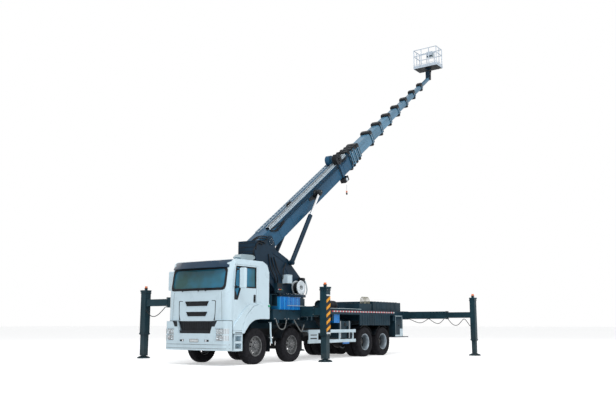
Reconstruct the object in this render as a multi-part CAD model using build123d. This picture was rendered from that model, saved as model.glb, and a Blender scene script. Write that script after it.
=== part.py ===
from build123d import *
from math import cos, radians, sin
import os

# Truck-mounted aerial work platform: an eight-wheel chassis with a tilting cab, four telescopic
# outriggers, a slewing turret and a twelve-section telescopic boom with a railed platform.
# X points forward from the first axle, Y to the left and Z up from the ground. All is in mm.

# Clearances
sliding_gap = 0.3
pin_gap = 0.05
panel_gap = 6
overrun = 20
skin = 8

# Axles and wheels
second_axle_x = -1840
third_axle_x = -6400
fourth_axle_x = third_axle_x - 1355
tyre_radius = 540
tyre_width = 300
tyre_shoulder = 45
tyre_sidewall_rise = 95
tread_crown = 12
rim_radius = 286
rim_depth = 12
rim_width = 226
rim_lip = 14
disc_thickness = 14
hub_radius = 118
hub_length = 150
hub_flange_radius = 165
spindle_radius = 44
single_track = 2070
twin_track = 1850
twin_spacing = 345
hand_hole_radius = 28
hand_hole_circle = 205
hand_hole_count = 8
wheel_dish = 70

# Steering
kingpin_y = 858
kingpin_radius = 24
kingpin_boss_radius = 56
axle_eye_height = 110
knuckle_ear_height = 34
knuckle_plate = 40

# Axle beams and springs
axle_beam_width = 110
axle_beam_height = 100
axle_drop = 90
axle_drop_y = 520
drive_tube_radius = 85
drive_bulb_radius = 230
drive_bulb_width = 330
spring_y = 395
spring_width = 90
spring_thickness = 56
spring_length = 1250
spring_camber = 70
spring_eye_share = 0.85

# Chassis rails
rail_front_x = 1180
rail_rear_x = -9420
rail_outer_y = 430
rail_height = 280
rail_flange = 85
rail_web = 12
rail_top_z = 1060
crossmember_depth = 160
crossmember_places = (1100, -620, -1250, -2750, -3900, -5200, -5750, -7080, -8450, -9300)

# Engine
engine_front_x = 690
engine_rear_x = -480
engine_half_width = rail_outer_y - rail_flange - sliding_gap
engine_low_z = 560
engine_top_z = 1240

# Cab shell
cab_front_x = 1360
cab_rear_x = -560
cab_half_width = 1225
cab_low_z = 960
cab_roof_z = 3115
cab_wall = 60
cab_floor_z = 1480
cab_footwell_z = 1080
screen_low_z = 2210
screen_top_z = 2850
screen_cut_share = 2.2
screen_half_width = 1090
screen_rake = 130
roof_front_drop = 130
roof_slope_share = 1.6
roof_rear_radius = 330
roof_curve_share = 0.3
corner_edge_share = 1.5
cab_corner_radius = 170
arch_top_z = 1350
arch_front_x = 790
arch_radius = 330
arch_shoulder_shares = ((0.5, 0.13), (0.87, 0.5))
flare_top_z = 1790
flare_front_x = 690
footwell_rear_x = 860
cab_hinge_x = 1215
cab_hinge_z = 720
cab_hinge_radius = 30
cab_hinge_y = 330
cab_lug_thickness = 50
tunnel_top_z = rail_top_z + 20
tunnel_front_x = 1205
rear_window_half_width = 520
rear_window_low_z = 2150
rear_window_top_z = 2600

# Doors
door_front_x = 1150
door_rear_x = -20
door_low_z = 1010
door_top_z = 2955
door_front_lean = 85
door_flare_shares = (0.35, 0.8)
door_flare_drop_high = 60
door_flare_drop_low = 330
door_heel_height = 180
door_heel_length = 60
window_front_x = 1070
window_rear_x = 100
window_low_z = 2290
window_top_z = 2890
window_lean_share = 0.8
window_dip_x = 800
window_dip_z = 1930
window_dip_run = 150
window_radius = 40
handle_x = 150
handle_z = 1960
handle_height = 200
handle_width = 60
handle_depth = 14
mirror_x = 985
mirror_y = 1470
mirror_low_z = 2240
mirror_high_z = 2840
mirror_width = 220
mirror_depth = 110
mirror_arm_radius = 16

# Cab front
visor_rear_x = 1095
visor_knee_x = 1300
visor_knee_z = 3037
visor_front_x = 1420
visor_low_z = 2850
visor_thickness = 28
visor_half_width = 1130
grille_depth = 26
upper_slot_low_z = 1730
upper_slot_top_z = 1870
second_slot_low_z = 1430
second_slot_top_z = 1560
slot_half_width = 480
lower_grille_low_z = 990
lower_grille_top_z = 1290
lower_grille_half_top = 720
lower_grille_half_low = 600
grille_bar_height = 22
second_slot_share = 0.9

# Cab inside
dash_low_z = 1560
dash_top_z = 2120
dash_peak_x = 1090
dash_peak_z = 2150
dash_lip_x = 930
dash_lip_z = 2060
dash_knee_x = 960
dash_knee_z = 1700
seat_rear_x = -150
seat_front_x = 400
seat_inner_y = 380
seat_outer_y = 900
seat_height = 330
seat_back_height = 960
seat_back_lean = 150
seat_back_thickness = 130
steering_x = 850
steering_y = 640
steering_z = 2110
steering_radius = 215
steering_rim_radius = 17
spoke_width = 50
spoke_thickness = 12
column_foot_x = 1000
column_foot_z = 1900
column_radius = 40

# Bumper and lamps
bumper_front_x = 1455
bumper_rear_x = 1160
bumper_half_width = 1230
bumper_low_z = 440
bumper_top_z = 930
bumper_horn_top_z = 1290
bumper_horn_inner_y = 760
horn_slope_share = 0.35
bumper_radius = 120
bumper_thickness = 50
stay_y = 520
bumper_notch_x = 1300
bumper_notch_y = 480
lamp_inner_y = 830
lamp_outer_y = 1150
lamp_low_z = 700
lamp_top_z = 1090
lamp_depth = 60
fog_slot_y = 420
fog_slot_width = 170
fog_slot_z = 690
fog_slot_height = 60

# Steps and mudguards
step_front_x = 1060
step_rear_x = 690
step_inner_y = 950
step_low_z = 420
step_top_z = 905
step_tread_depth = 45
step_tread_shares = (0.12, 0.57)
step_opening_share = 0.33
step_hanger_x = 960
guard_radius = 650
guard_thickness = 10
guard_stay_radius = 18
guard_inner_y = 880
guard_outer_y = 1210
rear_guard_inner_y = 600
rear_guard_outer_y = 1215
rear_guard_radius = 605

# Superstructure on the rails
subframe_front_x = -640
subframe_rear_x = -9960
subframe_top_z = 1400
deck_half_width = 1250
deck_top_z = 1700
deck_thickness = 40
deck_front_x = -2600
deck_rear_x = -9430
side_panel_low_z = 1150
side_panel_front_x = -6000
side_panel_rear_x = -8330
side_panel_thickness = 30
crossbar_places = (-2650, -2900, -4200, -6200, -7700, -8700)
front_box_front_x = -780
front_box_rear_x = -2240
front_box_low_z = 1335
front_box_inner_y = 640
front_bar_places = (-1050, -1900)
front_bar_height = 100
front_tank_front_x = -1105
front_tank_width = 330
front_tank_height = 390
front_tank_corner = 60
small_tank_front_x = -4300
small_tank_length = 360
small_tank_width = 210
small_tank_low_z = 1240
rear_box_front_x = -7150
rear_box_margin = 100
rear_box_height = 350
roll_front_x = -3900
roll_length = 950
roll_y = 850
roll_radius = 160
roll_foot_margin = 150
roll_foot_width = 120
hose_box_front_x = -6150
hose_box_length = 900
hose_box_inner_y = 500
hose_box_outer_y = 1150
hose_box_height = 260
fuel_tank_front_x = -4700
fuel_tank_length = 800
fuel_tank_inner_y = 560
fuel_tank_outer_y = 1160
fuel_tank_low_z = 700
fuel_tank_top_z = 1300
fuel_hanger_margin = 200
fuel_hanger_low_z = 900
fuel_hanger_top_z = 1040
side_rail_front_x = -2680
side_rail_rear_x = -5700
side_rail_low_z = 560
side_rail_high_z = 900
side_rail_height = 110
side_rail_thickness = 40
side_post_shares = (0.04, 0.35, 0.66, 0.96)
side_post_width = 60
side_stay_size = 50
rear_cabinet_length = 620
rear_cabinet_inner_y = 700
rear_cabinet_low_z = 700
rear_cabinet_drop = 120
rear_neck_margin = 60
rear_neck_overlap = 40
rear_step_thickness = 30
rear_step_rear = 470
rear_step_front = 80

# Slewing gear
slew_x = -2900
ring_radius = 720
ring_height = 110
pedestal_radius = 760
pedestal_top_z = 2060
turret_base_thickness = 70
turret_base_radius = 800

# Outriggers
front_left_x = -2400
front_right_x = -800
front_left_beam_z = 1610
front_right_beam_z = 1945
front_left_reach = 2100
front_right_reach = 4600
front_beam_1 = (250, 330)
front_beam_2 = (190, 240)
front_post = (240, 250)
front_post_low_z = 820
front_post_top_z = 2400
rear_outrigger_x = -9690
rear_outrigger_pitch = 270
rear_beam_z = 1545
rear_reach = 4250
rear_beam_1 = (200, 290)
rear_beam_2 = (150, 220)
rear_post = (190, 200)
rear_post_low_z = 560
rear_post_top_z = 2210
stowed_reach = 1425
beam_wall = 12
beam_play = 8
beam_1_length = 2430
beam_2_length = 1900
inner_beam_share = 1 / 3
leg_wall_gap = 8
mouth_length = 90
leg_top_z = 1620
foot_radius = 225
foot_thickness = 36
foot_hub_radius = 70
foot_hub_height = 60
beacon_radius = 52
beacon_height = 85
cap_height = 30
cap_margin = 22

# Turret
boom_pivot_x = -1730
boom_pivot_z = 3930
cheek_y = 325
cheek_thickness = 34
boom_pin_radius = 62
lift_pin_x = -2800
lift_pin_z = 3300
lift_pin_radius = 45
lift_y = 450
tail_front_x = -900
tail_low_z = 3470
tail_top_z = 3890
tail_plate_thickness = 30
tail_box_length = 240
cheek_foot_share = 0.85
cheek_throat_x = -1150
cheek_throat_z = 3020
cheek_chin_x = -1000
cheek_chin_z = 3210
cheek_heel_x = -3720
cheek_heel_low_z = 2330
cheek_heel_z = 2600
cheek_back_x = -2930
cheek_back_z = 3200
cheek_shoulder_x = -2720
cheek_shoulder_z = 3400
cheek_neck_x = -1990
cheek_neck_z = 3690
cheek_crown = 200
cheek_crown_share = 0.3
web_front_x = -2250
web_front_top_x = -1730
web_front_top_z = 3150
web_rear_x = -3500
web_rear_top_x = -3400
web_rear_top_z = 2750
web_thickness = 70
drum_radius = 235
drum_length = 300
drum_x = -3130
drum_z = 2400
drum_y = 480
drum_rim = 20
drum_core_share = 0.7

# Boom
boom_elevation = 35.75
section_count = 12
base_tail = -430
base_head = 6650
base_width = 520
base_height = 640
width_step = 34.5
height_step = 44.5
tube_wall = 6
tube_corner = 14
section_length = 6400
collar_length = 130
collar_rise = 26
collar_pitch = 300
pad_length = 110
stowed_sections = 4
fifth_pitch = 1410
head_pitch = 1078
lift_eye_along = 3450
lift_eye_above = 50
lift_boss_radius = 120
lift_boss_face_y = 372
lift_barrel_radius = 82
lift_barrel_length = 2120
lift_barrel_wall = 16
lift_rod_radius = 48
lift_rod_tail = 930
lift_eye_radius = 88
lift_eye_width = 130
carrier_width = 150
carrier_height = 70
carrier_front = 300
carrier_rear = 6350
carrier_edge = 10
pivot_boss_share = 1.9
hose_drum_along = 5500
hose_drum_radius = 190
hose_drum_width = 190
hoist_along = 5650
hoist_arm_width = 90
hoist_arm_thickness = 40
hoist_arm_drop = 60
hoist_length = 300
hoist_out = 120
hoist_width = 210
hoist_height = 160
hoist_gap = 40

# Platform and its mast
head_plate_thickness = 22
head_plate_length = 190
mast_pin_radius = 30
mast_height = 470
mast_width = 130
platform_length = 720
platform_width = 1300
platform_height = 1020
platform_floor = 60
kick_height = 150
rail_tube_radius = 19
stile_radius = 22
rail_height_shares = (1, 0.62)
stile_shares = (0, 0.33, 0.67, 1)
short_stile_shares = (0, 0.5, 1)
turntable_radius = 150
turntable_height = 60
control_box_depth = 150
control_box_width = 320
control_box_height = 230


def block(x_low, x_high, y_low, y_high, z_low, z_high):
    """A box between two corners."""
    middle = Pos((x_low + x_high) / 2, (y_low + y_high) / 2, (z_low + z_high) / 2)
    return middle * Box(x_high - x_low, y_high - y_low, z_high - z_low)


def rod(start, end, radius):
    """A round bar from one point to another."""
    along = Vector(*end) - Vector(*start)
    return extrude(Plane(origin=start, z_dir=along) * Circle(radius), along.length)


def cross_rod(x, z, y_low, y_high, radius):
    """A round bar across the truck."""
    return rod((x, y_low, z), (x, y_high, z), radius)


def side_plate(points, y_low, y_high):
    """A flat plate with an outline in X and Z, from y_low to y_high."""
    outline = Plane((0, y_high, 0), x_dir=(1, 0, 0), z_dir=(0, -1, 0)) * make_face(Polyline(*points, close=True))
    return extrude(outline, y_high - y_low)


def both_sides(piece):
    """The piece and its mirror image across the middle of the truck."""
    return [piece, mirror(piece, Plane.XZ)]


def fused(pieces):
    """One shape from pieces that meet, or a group of those that don't."""
    pieces = list(pieces)
    return pieces[0].fuse(*pieces[1:]).clean() if len(pieces) > 1 else pieces[0]


def group(pieces):
    """Separate solids of one sub-part."""
    return Compound([solid for piece in pieces for solid in piece.solids()])


# Wheels: profiles are half sections, across the truck and out from the hub, turned about Y

def turned(points, y):
    """A ring or disc turned about the wheel's axis, from (across, radius) points."""
    profile = Plane.YZ * make_face(Polyline(*points, close=True))
    return Pos(0, y, 0) * revolve(profile, Axis.Y)


def tyre(y):
    """A closed tyre with rounded shoulders, its middle at y."""
    half = tyre_width / 2
    bead = rim_radius + sliding_gap
    wall_top = tyre_radius - tyre_shoulder
    return turned(
        [
            (-rim_width / 2, bead),
            (rim_width / 2, bead),
            (half, bead + tyre_sidewall_rise),
            (half, wall_top),
            (half - tyre_shoulder, tyre_radius - tread_crown),
            (half - 2 * tyre_shoulder, tyre_radius),
            (2 * tyre_shoulder - half, tyre_radius),
            (tyre_shoulder - half, tyre_radius - tread_crown),
            (-half, wall_top),
            (-half, bead + tyre_sidewall_rise),
        ],
        y,
    )


def hand_holes(y_low, y_high):
    """The ring of holes through a wheel's disc."""
    first = Pos(hand_hole_circle, 0, 0) * rod((0, y_low, 0), (0, y_high, 0), hand_hole_radius)
    return [Rot(0, 360 / hand_hole_count * n, 0) * first for n in range(hand_hole_count)]


def rim_barrel(y):
    """The rolled band that the tyre sits on, with its two lips."""
    half = rim_width / 2
    inner = rim_radius - rim_depth
    return turned(
        [
            (-half, inner),
            (half, inner),
            (half, rim_radius),
            (-half, rim_radius),
        ],
        y,
    )


def rim_disc(y, outer_y, inner_y):
    """The dished disc and hub, joined to the band at y."""
    inner = rim_radius - rim_depth / 2
    return turned(
        [
            (outer_y, hub_flange_radius),
            (outer_y, spindle_radius + pin_gap),
            (inner_y, spindle_radius + pin_gap),
            (inner_y, hub_radius),
            (outer_y - disc_thickness, hub_radius),
            (outer_y - disc_thickness, hub_flange_radius),
            (y - disc_thickness, inner),
            (y, inner),
        ],
        0,
    )


def single_wheel():
    """A steered wheel, its outer side towards +Y and its middle at the origin."""
    disc = rim_disc(rim_width / 2 - rim_lip, wheel_dish, wheel_dish - hub_length)
    disc = disc - fused(hand_holes(-rim_width, rim_width))
    return group([tyre(0), fused([rim_barrel(0), disc])])


def twin_wheel():
    """A pair of driven wheels as one, its outer side towards +Y and its middle at the origin."""
    outer_y = twin_spacing / 2
    disc = rim_disc(outer_y - rim_width / 2 + rim_lip, rim_lip, rim_lip - hub_length)
    disc = disc - fused(hand_holes(-twin_spacing, twin_spacing))
    spacer = turned(
        [
            (rim_width / 2 - outer_y, rim_radius),
            (rim_width / 2 - outer_y, rim_radius - rim_depth),
            (outer_y - rim_width / 2, rim_radius - rim_depth),
            (outer_y - rim_width / 2, rim_radius),
        ],
        0,
    )
    metal = fused([rim_barrel(outer_y), rim_barrel(-outer_y), spacer, disc])
    return group([tyre(outer_y), tyre(-outer_y), metal])


# Steering knuckles and axles

def knuckle():
    """A left knuckle at its kingpin, with the spindle towards +Y."""
    ear_low = axle_eye_height / 2 + sliding_gap
    ear_high = ear_low + knuckle_ear_height
    ears = [
        Pos(0, 0, side * (ear_low + ear_high) / 2) * Cylinder(kingpin_boss_radius, knuckle_ear_height)
        for side in (1, -1)
    ]
    plate_y = kingpin_boss_radius + sliding_gap
    plate = block(-kingpin_boss_radius, kingpin_boss_radius, plate_y, plate_y + knuckle_plate, -ear_high, ear_high)
    bridges = [
        block(-kingpin_boss_radius, kingpin_boss_radius, 0, plate_y + overrun, *sorted((side * ear_low, side * ear_high)))
        for side in (1, -1)
    ]
    pin = Cylinder(kingpin_radius, 2 * ear_high)
    spindle_end = single_track / 2 - kingpin_y + rim_width / 2 - rim_lip
    spindle = rod((0, plate_y, 0), (0, spindle_end, 0), spindle_radius)
    return fused([*ears, plate, *bridges, pin, spindle])


def leaf_spring(axle_x):
    """A spring pack over the axle, up to the rail's brackets at both ends."""
    top_z = rail_top_z - rail_height - sliding_gap
    half = spring_length / 2
    low_z = top_z - spring_camber - spring_thickness
    return side_plate(
        [
            (axle_x - half, top_z),
            (axle_x - half, top_z - spring_thickness / 2),
            (axle_x - half / 2, low_z + spring_camber / 4),
            (axle_x, low_z),
            (axle_x + half / 2, low_z + spring_camber / 4),
            (axle_x + half, top_z - spring_thickness / 2),
            (axle_x + half, top_z),
            (axle_x + half * spring_eye_share, top_z),
            (axle_x + half / 2, top_z - spring_camber / 2),
            (axle_x - half / 2, top_z - spring_camber / 2),
            (axle_x - half * spring_eye_share, top_z),
        ],
        spring_y - spring_width / 2,
        spring_y + spring_width / 2,
    )


def spring_seat(axle_x, low_z):
    """The block between the axle and its spring."""
    top_z = rail_top_z - rail_height - sliding_gap - spring_camber - spring_thickness / 2
    half = axle_beam_width / 2
    half_y = spring_width / 2
    return block(axle_x - half, axle_x + half, spring_y - half_y, spring_y + half_y, low_z, top_z)


def steered_axle(axle_x):
    """A dropped beam with an eye at each kingpin, and its two springs."""
    half_width = axle_beam_width / 2
    half_height = axle_beam_height / 2
    beam_end = kingpin_y - kingpin_boss_radius / 2
    neck_y = kingpin_y - kingpin_boss_radius - overrun
    outline = [
        (-beam_end, half_height),
        (-beam_end, -half_height),
        (-neck_y, -half_height),
        (-axle_drop_y, -half_height - axle_drop),
        (axle_drop_y, -half_height - axle_drop),
        (neck_y, -half_height),
        (beam_end, -half_height),
        (beam_end, half_height),
        (axle_drop_y, half_height - axle_drop),
        (-axle_drop_y, half_height - axle_drop),
    ]
    face = Plane((axle_x - half_width, 0, tyre_radius), x_dir=(0, 1, 0), z_dir=(1, 0, 0))
    beam = extrude(face * make_face(Polyline(*outline, close=True)), axle_beam_width)
    eyes = []
    for side in (1, -1):
        at = Pos(axle_x, side * kingpin_y, tyre_radius)
        beam = beam + at * Cylinder(kingpin_boss_radius, axle_eye_height)
        eyes.append(at * Cylinder(kingpin_radius + pin_gap, axle_eye_height + overrun))
    low_z = tyre_radius + half_height - axle_drop - overrun
    mounts = [both_sides(leaf_spring(axle_x)), both_sides(spring_seat(axle_x, low_z))]
    return fused([beam, *mounts[0], *mounts[1]]) - fused(eyes)


def drive_axle(axle_x):
    """A tube with the differential's round housing, wheel shafts and two springs."""
    inner_y = twin_track / 2 - hub_length
    end_y = twin_track / 2 + rim_lip + disc_thickness
    tube = cross_rod(axle_x, tyre_radius, -inner_y, inner_y, drive_tube_radius)
    shaft = cross_rod(axle_x, tyre_radius, -end_y, end_y, spindle_radius)
    bulb = Pos(axle_x, 0, tyre_radius) * Sphere(drive_bulb_radius)
    bulb = bulb & block(
        axle_x - drive_bulb_radius, axle_x + drive_bulb_radius, -drive_bulb_width / 2, drive_bulb_width / 2,
        tyre_radius - drive_bulb_radius, tyre_radius + drive_bulb_radius,
    )
    low_z = tyre_radius + drive_tube_radius - overrun
    return fused([tube, shaft, bulb, *both_sides(leaf_spring(axle_x)), *both_sides(spring_seat(axle_x, low_z))])


# Chassis

def rail():
    """The left frame rail, a channel that opens inward."""
    low_z = rail_top_z - rail_height
    outer = block(rail_rear_x, rail_front_x, rail_outer_y - rail_flange, rail_outer_y, low_z, rail_top_z)
    hollow = block(
        rail_rear_x - overrun, rail_front_x + overrun, rail_outer_y - rail_flange - overrun, rail_outer_y - rail_web,
        low_z + rail_web, rail_top_z - rail_web,
    )
    return outer - hollow


def chassis_frame():
    """Two rails joined by crossmembers, with the cab's hinge lugs at the front."""
    low_z = rail_top_z - rail_height
    inner_y = rail_outer_y - rail_web
    pieces = both_sides(rail())
    for x in crossmember_places:
        half = crossmember_depth / 4
        pieces.append(block(x - half, x + half, -inner_y, inner_y, low_z + rail_web, rail_top_z - 4 * rail_web))
    lug_inner = cab_hinge_y
    lug_outer = rail_outer_y
    lug = block(rail_front_x - overrun, cab_hinge_x + cab_hinge_radius * 2, lug_inner, lug_outer,
                cab_hinge_z - cab_hinge_radius * 2, low_z + rail_web * 4)
    plate = block(rail_front_x - overrun * 4, rail_front_x, lug_inner, lug_outer, low_z - rail_web, rail_top_z)
    pin = cross_rod(cab_hinge_x, cab_hinge_z, lug_inner - cab_lug_thickness - overrun, lug_outer, cab_hinge_radius)
    pieces += both_sides(lug) + both_sides(plate) + both_sides(pin)
    return fused(pieces)


def engine_block():
    """The engine between the rails, as one plain block."""
    return block(engine_rear_x, engine_front_x, -engine_half_width, engine_half_width, engine_low_z, engine_top_z)


# Cab

def cab_outline(inset):
    """The cab's side view, moved in by an inset, without its wheel arch."""
    front = cab_front_x - inset
    rear = cab_rear_x + inset
    roof = cab_roof_z - inset
    curve = roof_rear_radius - inset
    lean_x = front - screen_rake
    lean_z = roof - roof_front_drop
    return [
        (front, cab_low_z + inset),
        (front, screen_low_z),
        (lean_x, lean_z),
        (lean_x - roof_front_drop * roof_slope_share, roof - inset / 4),
        (rear + curve, roof),
        (rear + curve * roof_curve_share, roof - curve * roof_curve_share),
        (rear, roof - curve),
        (rear, cab_low_z + inset),
    ]


def cab_body(inset):
    """The cab's outer form, or its hollow with an inset, with rounded front corners."""
    half = cab_half_width - inset
    body = side_plate(cab_outline(inset), -half, half)
    radius = cab_corner_radius - inset
    corners = [
        edge for edge in body.edges()
        if abs(edge.center().Y) > half - sliding_gap and edge.center().X > cab_front_x - inset - screen_rake
        and edge.bounding_box().size.Z > roof_front_drop * corner_edge_share
    ]
    return fillet(corners, radius)


def arch_cutter():
    """What the wheel arch takes off the cab, rounded at its front."""
    corner = arch_front_x - arch_radius
    outline = [
        (cab_rear_x - overrun, cab_low_z - overrun),
        (cab_rear_x - overrun, arch_top_z),
        (corner, arch_top_z),
        *((corner + arch_radius * along, arch_top_z - arch_radius * down) for along, down in arch_shoulder_shares),
        (arch_front_x, cab_low_z - overrun),
    ]
    width = cab_half_width + overrun
    return side_plate(outline, -width, width)


def horn_pocket(margin):
    """The space at both lower front corners that the bumper's ends take up."""
    foot_y = bumper_horn_inner_y - (bumper_horn_top_z - bumper_top_z) * horn_slope_share
    pocket = block(
        bumper_rear_x - panel_gap - margin, cab_front_x + overrun, foot_y - panel_gap - margin,
        cab_half_width + overrun, cab_low_z - overrun, bumper_horn_top_z + panel_gap + margin,
    )
    return both_sides(pocket)


def cab_hollow():
    """The room inside the cab, over its floor and down to the footwell."""
    room = cab_body(cab_wall) - horn_pocket(cab_wall)
    outline = [
        (cab_rear_x, cab_floor_z),
        (footwell_rear_x - cab_wall, cab_floor_z),
        (footwell_rear_x + cab_wall, cab_footwell_z + cab_wall),
        (cab_front_x, cab_footwell_z + cab_wall),
        (cab_front_x, cab_roof_z),
        (cab_rear_x, cab_roof_z),
    ]
    return room & side_plate(outline, -cab_half_width, cab_half_width)


def door_outline(gap):
    """The door's side view, made smaller by a gap."""
    front = door_front_x - gap
    rear = door_rear_x + gap
    flare = flare_front_x - door_rear_x
    return [
        (front, door_low_z + gap),
        (front, screen_low_z),
        (front - door_front_lean, door_top_z - gap),
        (rear, door_top_z - gap),
        (rear, flare_top_z + gap),
        (rear + flare * door_flare_shares[0], flare_top_z - door_flare_drop_high + gap),
        (rear + flare * door_flare_shares[1], flare_top_z - door_flare_drop_low + gap),
        (flare_front_x + gap, door_low_z + door_heel_height + gap),
        (flare_front_x + door_heel_length + gap, door_low_z + gap),
    ]


def door_prism(gap):
    """Everything at the left side of the cab that the door takes up."""
    return side_plate(door_outline(gap), cab_half_width - cab_wall - overrun, cab_half_width + overrun)


def window_cutter():
    """The hole for the left door's window."""
    outline = make_face(Polyline(
        (window_front_x, window_dip_z),
        (window_front_x, screen_low_z),
        (window_front_x - door_front_lean * window_lean_share, window_top_z),
        (window_rear_x, window_top_z),
        (window_rear_x, window_low_z),
        (window_dip_x, window_low_z),
        (window_dip_x + window_dip_run, window_dip_z),
        close=True,
    ))
    side = Plane((0, cab_half_width + overrun, 0), x_dir=(1, 0, 0), z_dir=(0, -1, 0))
    return extrude(side * fillet(outline.vertices(), window_radius), cab_wall + 3 * overrun)


def cab_shell():
    """The hollow cab with its doorways, windscreen, rear window, hinge lugs and rear rest."""
    shell = cab_body(0) - arch_cutter() - cab_hollow()
    shell = shell - both_sides(door_prism(0))
    shell = shell - block(
        cab_front_x - screen_rake * screen_cut_share, cab_front_x + overrun, -screen_half_width, screen_half_width,
        screen_low_z, screen_top_z,
    )
    shell = shell - block(
        cab_rear_x - overrun, cab_rear_x + cab_wall + overrun, -rear_window_half_width, rear_window_half_width,
        rear_window_low_z, rear_window_top_z,
    )
    bay_top = cab_floor_z - cab_wall
    shell = shell - block(
        cab_rear_x - overrun, footwell_rear_x - cab_wall * 2, -rail_outer_y - cab_wall, rail_outer_y + cab_wall,
        cab_low_z - overrun, bay_top,
    )
    shell = shell - horn_pocket(0)
    shell = shell - block(
        footwell_rear_x - cab_wall * 3, tunnel_front_x, -rail_outer_y - cab_wall, rail_outer_y + cab_wall,
        cab_low_z - overrun, tunnel_top_z,
    )
    eye_low = cab_hinge_z - cab_hinge_radius * 2
    lug_outer = cab_hinge_y - sliding_gap
    lug = block(
        cab_hinge_x - cab_hinge_radius * 2, cab_hinge_x + cab_hinge_radius * 2, lug_outer - cab_lug_thickness,
        lug_outer, eye_low, tunnel_top_z + cab_wall / 2,
    )
    hole = cross_rod(cab_hinge_x, cab_hinge_z, 0, lug_outer + overrun, cab_hinge_radius + pin_gap)
    shell = fused([shell, *both_sides(lug - hole)])
    return shell


def screen_glass():
    """The windscreen and the rear window, seated in their holes."""
    front_shell = cab_body(cab_wall / 3) - cab_body(cab_wall / 3 + skin)
    hole = block(
        cab_front_x - screen_rake * screen_cut_share, cab_front_x + overrun, sliding_gap - screen_half_width,
        screen_half_width - sliding_gap, screen_low_z + sliding_gap, screen_top_z - sliding_gap,
    )
    rear = block(
        cab_rear_x + cab_wall / 3, cab_rear_x + cab_wall / 3 + skin, sliding_gap - rear_window_half_width,
        rear_window_half_width - sliding_gap, rear_window_low_z + sliding_gap, rear_window_top_z - sliding_gap,
    )
    return group([front_shell & hole, rear])


def front_trim():
    """The two dark slots in the front panel, the barred lower grille and the sun visor."""
    face = cab_front_x + sliding_gap
    pieces = []
    for low_z, top_z, share in (
        (upper_slot_low_z, upper_slot_top_z, 1),
        (second_slot_low_z, second_slot_top_z, second_slot_share),
    ):
        half = slot_half_width * share
        frame = block(face, face + grille_depth, -half, half, low_z, top_z)
        bars = 2
        pitch = (top_z - low_z - grille_bar_height) / (bars + 1)
        for n in range(bars + 1):
            slot_low = low_z + grille_bar_height + pitch * n
            slot = block(face + grille_depth / 2, face + grille_depth + overrun, grille_bar_height - half,
                         half - grille_bar_height, slot_low, slot_low + pitch - grille_bar_height)
            frame = frame - slot
        pieces.append(frame)
    lower = Plane((face, 0, 0), x_dir=(0, 1, 0), z_dir=(1, 0, 0)) * make_face(Polyline(
        (-lower_grille_half_top, lower_grille_top_z),
        (-lower_grille_half_low, lower_grille_low_z),
        (lower_grille_half_low, lower_grille_low_z),
        (lower_grille_half_top, lower_grille_top_z),
        close=True,
    ))
    frame = extrude(lower, grille_depth)
    bars = 4
    pitch = (lower_grille_top_z - lower_grille_low_z - grille_bar_height) / bars
    half = lower_grille_half_low - grille_bar_height
    for n in range(bars):
        slot_low = lower_grille_low_z + grille_bar_height + pitch * n
        frame = frame - block(face + grille_depth / 2, face + grille_depth + overrun, -half, half,
                              slot_low, slot_low + pitch - grille_bar_height)
    pieces.append(frame)
    pieces.append(sun_visor())
    return group(pieces)


def sun_visor():
    """The dark visor over the windscreen, resting on the roof's front slope."""
    slope_run = roof_front_drop * roof_slope_share
    slope_foot_x = cab_front_x - screen_rake
    visor_rear_z = cab_roof_z - roof_front_drop + roof_front_drop * (slope_foot_x - visor_rear_x) / slope_run
    visor_rear_z += sliding_gap
    outline = [
        (visor_rear_x, visor_rear_z),
        (visor_knee_x, visor_knee_z),
        (visor_front_x, visor_low_z),
        (visor_front_x + visor_thickness, visor_low_z + visor_thickness / 2),
        (visor_knee_x + visor_thickness, visor_knee_z + visor_thickness),
        (visor_rear_x + visor_thickness, visor_rear_z + visor_thickness),
    ]
    return side_plate(outline, -visor_half_width, visor_half_width)


def cab_interior():
    """Dashboard, seats, steering wheel and engine tunnel."""
    floor = cab_floor_z + sliding_gap
    dash_x = cab_front_x - cab_wall - sliding_gap
    dash = side_plate(
        [(dash_x, dash_low_z), (dash_x, dash_top_z), (dash_peak_x, dash_peak_z), (dash_lip_x, dash_lip_z),
         (dash_knee_x, dash_knee_z)],
        cab_corner_radius - cab_half_width, cab_half_width - cab_corner_radius,
    )
    steering_centre = (steering_x, steering_y, steering_z)
    wheel_face = Plane(steering_centre, x_dir=(0, 1, 0), z_dir=(-0.6, 0, 0.8))
    ring = wheel_face.location * Torus(steering_radius, steering_rim_radius)
    spoke = extrude(wheel_face * Rectangle(2 * (steering_radius - steering_rim_radius), spoke_width), spoke_thickness)
    column = rod(steering_centre, (column_foot_x, steering_y, column_foot_z), column_radius)
    pieces = [fused([dash, column, ring, spoke])]
    for side in (1, -1):
        y_low, y_high = sorted((side * seat_inner_y, side * seat_outer_y))
        cushion = block(seat_rear_x, seat_front_x, y_low, y_high, floor, floor + seat_height)
        back = side_plate([
            (seat_rear_x, floor),
            (seat_rear_x - seat_back_lean, floor + seat_back_height),
            (seat_rear_x - seat_back_lean + seat_back_thickness, floor + seat_back_height),
            (seat_rear_x + seat_back_thickness, floor + seat_height - overrun),
        ], y_low, y_high)
        pieces.append(fused([cushion, back]))
    return group(pieces)


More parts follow.
